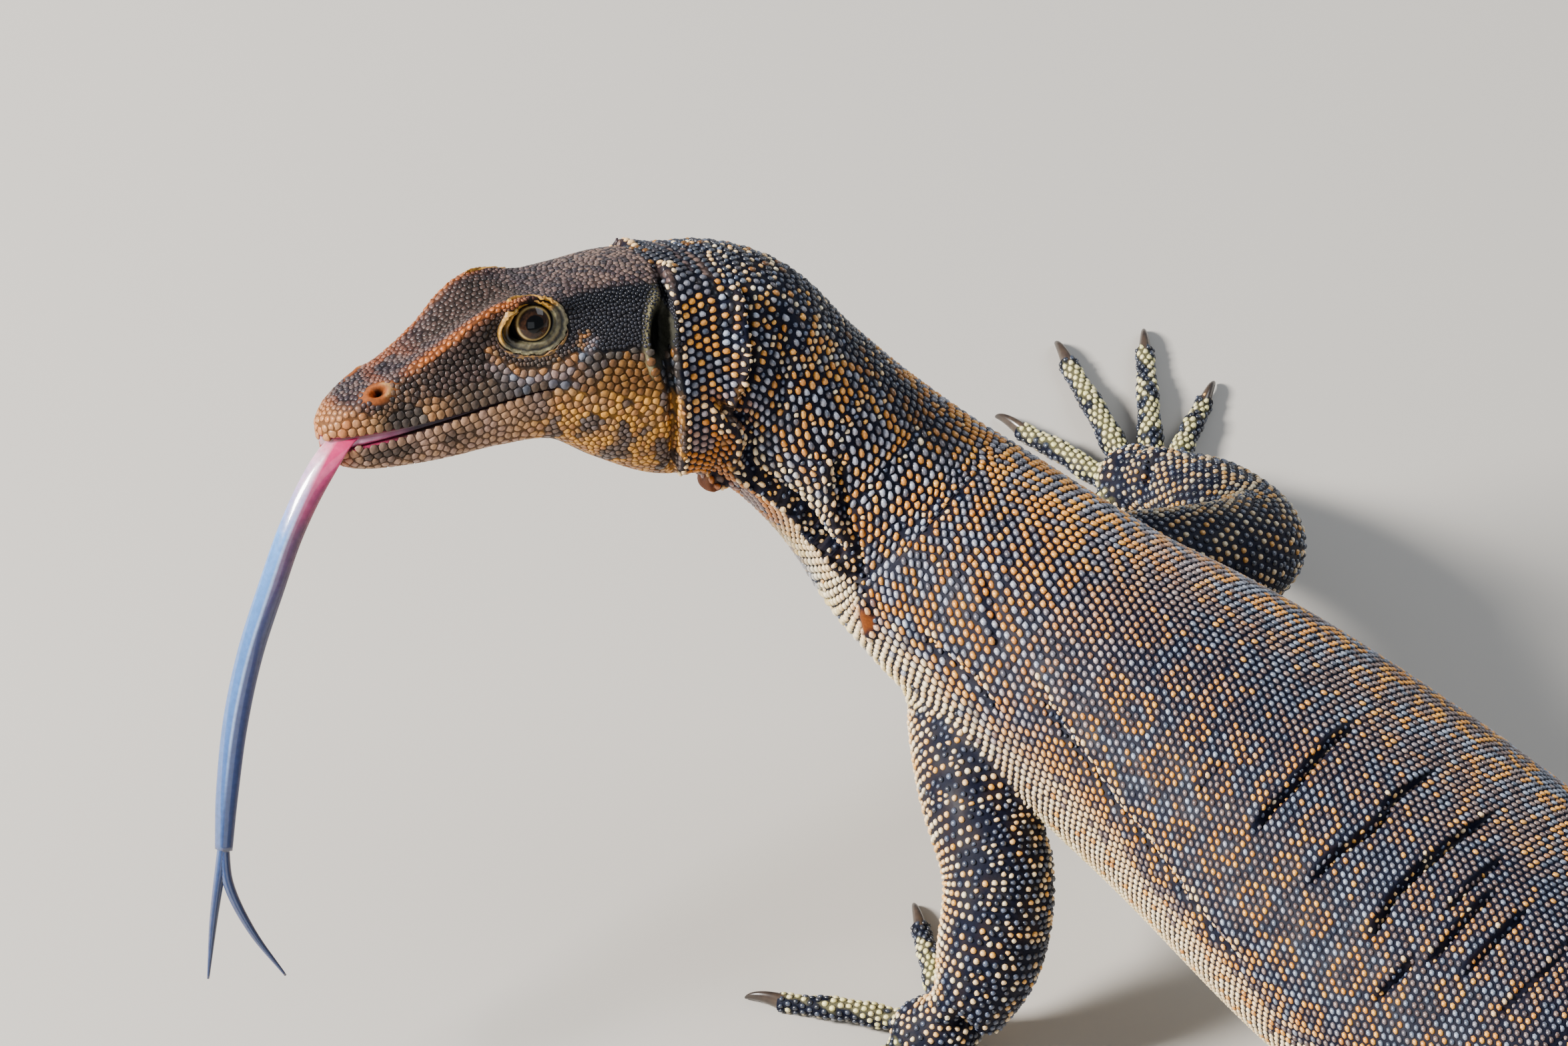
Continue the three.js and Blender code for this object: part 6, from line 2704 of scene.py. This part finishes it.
@dataclass
class Tongue:
    """The forked tongue.

    Stem and tines are rows of [x, y, z, half-width, half-thickness, share], where the share
    turns the broad face from the head's upward, 0, to the tongue's own, 1.
    """

    head: HeadShape
    sides: int = 24
    step: float = 0.9
    root_height: float = 137.0
    squareness: tuple = (1.5, 2.0, 2.0)
    face: tuple = (0.55, -0.77, 0.32)
    stem: tuple = (
        (23, -126, 137, 3, 1, 0), (22.4, -133.5, 137.2, 3.1, 1.1, 0), (22, -140.4, 136.4, 3.1, 1.3, 0.25),
        (22.9, -148.4, 131, 3, 1.6, 0.8), (25, -157.2, 122.5, 2.9, 1.8, 1),
        (27.4, -164.8, 112.5, 2.9, 1.8, 1), (30, -173.4, 99, 2.85, 1.8, 1), (34, -181.1, 86, 2.8, 1.75, 1),
        (39.4, -188.2, 72.5, 2.5, 1.6, 1), (43.6, -192.8, 62.5, 2, 1.3, 1))
    tines: tuple = (
        ((42.4, -191.6, 65.5, 1.1, 1, 1), (44.6, -194.6, 59, 1.2, 1.05, 1), (48.2, -199.8, 48.5, 0.9, 0.8, 1),
         (52.8, -205.3, 38, 0.28, 0.28, 1)),
        ((42.8, -192, 64.5, 1.1, 1, 1), (47.2, -194.6, 56, 1.2, 1.05, 1), (54.4, -194.4, 47, 0.9, 0.8, 1),
         (62.7, -192, 38, 0.28, 0.28, 1)))
    depths: tuple = (-2.0, 3.0, 14.0, 30.0, 60.0, 85.0)
    # Colours down the lit half of the tongue, whitish near the root as a painted highlight, then those down
    # the half in painted shade
    bright: tuple = ("c92a62", "dfb3c4", "5b8fd0", "4a78b4", "3f5f95", "3a4668")
    deep: tuple = ("b41f56", "c8386f", "6b4560", "3b3f66", "2b3a66", "26304f")

    def upright(self, share: Array) -> Array:
        """The way the broad face looks, turned from the head's upward to its own by shares."""
        return unit(blend(self.head.upward, unit(np.array(self.face)), share))

    def rings(self, rows: Sequence[Sequence[float]], square: float) -> tuple[Array, Array]:
        """Rings of a tube with broad faces.

        Args:
            rows: rows of the tongue or of a tine.
            square: power of the section: 2 is an oval, less than 2 is like a diamond.

        Returns:
            The rings, and how far left of the middle line each point lies, from -1 to 1.
        """
        line = measured(rows)
        places = np.linspace(0, line[-1, 0], int(line[-1, 0] / self.step) + 2)
        point, direction, sizes = station(line, places)
        side = unit(np.cross(direction, self.upright(sizes[:, 2])))
        rise = np.cross(side, direction)
        angle = turns_of(self.sides)
        flat, high = power(np.cos(angle), 2 / square), power(np.sin(angle), 2 / square)
        rings = (point[:, None] + side[:, None] * (sizes[:, :1] * flat)[..., None]
                 + rise[:, None] * (sizes[:, 1:2] * high)[..., None])
        return rings, np.tile(flat, (len(places), 1))

    def shades(self, codes: Sequence[str], down: Array) -> Array:
        """Colours at distances down the tongue, from one code for each depth."""
        table = np.array([linear(code) for code in codes])
        return np.column_stack([np.interp(down, self.depths, column) for column in table.T])

    def build(self, placing: Placing, finish: Finish) -> Piece:
        """The tongue, painted from rose at its root to blue-grey, one half lit and the other in painted
        shade, with a painted highlight along its middle.

        Args:
            placing: the frame's placing.
            finish: its material.

        Returns:
            The tongue.
        """
        parts = [self.rings(rows, square) for rows, square in zip((self.stem, *self.tines), self.squareness)]
        made, *tines = [placing.solid("tongue_whole", rings)[0] for rings, _ in parts]
        made.data = joined(made, tines, Join.UNION)
        points = read_points(made.data) / MM - placing.shift
        near = tree_of(np.concatenate([rings.reshape(-1, 3) for rings, _ in parts]))
        lefts = np.concatenate([left.ravel() for _, left in parts])
        left = lefts[[near.find(p)[1] for p in points]]
        down = self.root_height - points[:, 2] + 3 * (cloud(points, 3.0, 71) - 0.5)
        # A painted highlight along the tongue's middle line
        ridge_highlight = bump(left, 0.02, 0.07) * smooth(4, 12, down) * smooth(70, 50, down)
        tint = layered(self.shades(self.bright, down),
                       (self.shades(self.deep, down), smooth(0.12, -0.12, left)), ("a9bfe2", ridge_highlight * 0.7))
        return finished(made, tint, finish, "tongue", "tongue")


@dataclass
class Claws:
    """The curved claws of one leg."""

    leg: LegShape
    reach: float = 3.2
    sunk: float = 0.9
    tip_height: float = 0.5
    least_height: float = 0.12
    sides: int = 18
    steps: int = 26

    def curve(self, number: int, t: Array) -> Array:
        """The middle line of one claw.

        Args:
            number: place of its digit in the plan.
            t: shares of the way from root to tip.

        Returns:
            One place a row.
        """
        tube = self.leg.digits[number]
        heading, _, radius = self.leg.plan.digits[number]
        way, tip = self.leg.heading(heading), tube.direction[-1]
        root = tube.centre[-1] - tip * self.sunk
        length = radius * self.reach
        first = root + tip * length * 0.4
        first[2] = root[2] + radius * 0.4
        second = root + way * length * 0.93
        second[2] = root[2] + radius * 0.3
        end = root + way * (length + self.sunk)
        end[2] = self.tip_height
        return (1 - t) ** 3 * root + 3 * (1 - t) ** 2 * t * first + 3 * (1 - t) * t**2 * second + t**3 * end

    def build(self, placing: Placing, finish: Finish) -> None:
        """One piece for each claw, each standing for its own node.

        Args:
            placing: the frame's placing.
            finish: their material.
        """
        t = np.linspace(0, 1, self.steps)[:, None]
        angle = turns_of(self.sides)
        keel = np.sin(angle) * (1 + 0.18 * np.maximum(0, -np.sin(angle)) ** 2)
        share = np.concatenate([np.repeat(t[:, 0], self.sides), [0.0, 1.0]])
        for number, (_, _, radius) in enumerate(self.leg.plan.digits):
            curve = self.curve(number, t)
            direction = unit(np.gradient(curve, axis=0))
            across = unit(np.cross(direction, UP))
            rise = np.cross(across, direction)
            thick = radius * (0.82 * (1 - t) ** 0.7 + 0.06)
            rings = (curve[:, None] + across[:, None] * (thick * 0.72 * np.cos(angle))[..., None]
                     + rise[:, None] * (thick * keel)[..., None])
            rings[..., 2] = np.maximum(rings[..., 2], self.least_height)
            node = self.leg.plan.claw(number + 1)
            made, points = placing.solid(node + "_horn", rings)
            streaks = 0.5 * cloud(points * [1, 1, 0.4], 0.8, 81) * (1 - share)
            tint = layered(blend(linear("3a2e27"), linear("16110f"), share), ("6a5846", streaks))
            finished(made, tint, finish, "claw", node)


# Floor, light and camera


@dataclass
class Studio:
    """The plain pale floor, the soft lights and the camera.

    The lights are rows of [name, place, side, power, colour].
    """

    target: tuple = (59.2, -49.7, 80.0)
    towards_camera: tuple = (0.5321, -0.4465, 0.7193)
    distance: float = 2500.0
    lens: float = 264.2
    floor_side: float = 8.0
    lit: tuple = (-0.5, 0.0, 0.06)
    lights: tuple = (("key", (-1.3, -1.45, 1.2), 0.45, 122.0, (1.0, 0.97, 0.93)),
                     ("fill", (1.3, -1.4, 1.1), 1.6, 10.0, (0.9, 0.95, 1.0)),
                     ("back", (-0.2, 1.5, 1.5), 1.2, 18.0, (0.86, 0.93, 1.0)))
    sky: tuple = (0.82, 0.88, 1.0, 1)
    sky_strength: float = 0.32

    def floor(self) -> None:
        """A wide level floor under the feet."""
        half = self.floor_side / 2
        points = np.array([[-half, -half, 0], [half, -half, 0], [half, half, 0], [-half, half, 0]])
        piece = new_piece("floor", points, [np.array([[0, 1, 2, 3]])])
        piece.data.materials.append(FloorFinish().material())

    def stand(self, name: str, data: bpy.types.ID, place: Vector, way: Vector) -> Piece:
        """Stands a lamp or a camera in the scene.

        Args:
            name: name of its object.
            data: the lamp or the camera.
            place: where it stands, in metres.
            way: the way that it looks.

        Returns:
            Its object.
        """
        holder = bpy.data.objects.new(name, data)
        bpy.context.scene.collection.objects.link(holder)
        holder.location = place
        holder.rotation_mode = "QUATERNION"
        holder.rotation_quaternion = way.to_track_quat("-Z", "Y")
        return holder

    def build(self, placing: Placing) -> None:
        """Sets up floor, lights and camera.

        Args:
            placing: the frame's placing.
        """
        self.floor()
        for name, place, side, watts, colour in self.lights:
            lamp = bpy.data.lights.new(name, "AREA")
            lamp.energy, lamp.size, lamp.color = watts, side, colour
            self.stand(name, lamp, Vector(place), Vector(self.lit) - Vector(place))
        world = bpy.data.worlds.new("studio")
        world.use_nodes = True
        world.node_tree.nodes["Background"].inputs["Color"].default_value = self.sky
        world.node_tree.nodes["Background"].inputs["Strength"].default_value = self.sky_strength
        bpy.context.scene.world = world
        lens = bpy.data.cameras.new("camera")
        lens.lens, lens.sensor_width = self.lens, 36.0
        lens.clip_start, lens.clip_end = 0.05, 50.0
        back = Vector(self.towards_camera).normalized()
        place = Vector(placing.metres(np.array(self.target))) + back * self.distance * MM
        bpy.context.scene.camera = self.stand("camera", lens, place, -back)


def main() -> None:
    """Builds the animal piece by piece, then the floor, the lights and the camera."""
    logging.basicConfig(level=logging.INFO, format="%(message)s", stream=sys.stdout)
    body, eyes, marks, coat = BodyShape(), EyeShape(), Markings(), Coat()
    head = body.head
    placing = Placing(head, eyes)
    legs = [LegShape(plan) for plan in (FORE_LEFT, FORE_RIGHT, HIND_LEFT, HIND_RIGHT)]
    skin = Skin(body, legs, eyes, placing)
    hide = skin.build()
    roots, normals = Planting(body, legs, eyes, skin, marks).plant(hide, coat)
    scale = HornyFinish("scale_horn", (0.3, 0.42), 1400.0, 0.2, 0.4, 0.0, 0.7)
    shield = HornyFinish("shield_horn", (0.36, 0.5), 1400.0, 0.3, 0.1, 0.0, 0.35)
    coat.grow(roots, normals, placing, scale.material(), shield.material())
    skin.dress(hide, roots, HornyFinish("skin_hide", (0.5, 0.7), 1800.0, 0.3, 0.0, 0.0, 0.12).material())
    tree = skin.tree(hide)
    lid = HornyFinish("lid_skin", (0.35, 0.5), 2600.0, 0.5, 0.2, 0.05).material()
    glass = WetFinish("eye_glass", 0.08, 0.0, 0.0, 0.0, 0.3).material()
    for hand in Hand:
        eyes.ball(head, hand, placing, glass)
        eyes.lids(head, hand, tree, placing, lid)
    flesh = WetFinish("wet_flesh").material()
    Mouth(head).build(placing, flesh)
    Tongue(head).build(placing, WetFinish("tongue_flesh", 0.22, 1.0, 0.25, 0.25).material())
    horn = HornyFinish("claw_horn", (0.22, 0.4), 700.0, 0.3, 0.3).material()
    for leg in legs:
        Claws(leg).build(placing, horn)
    Studio().build(placing)


if __name__ == "__main__":
    main()
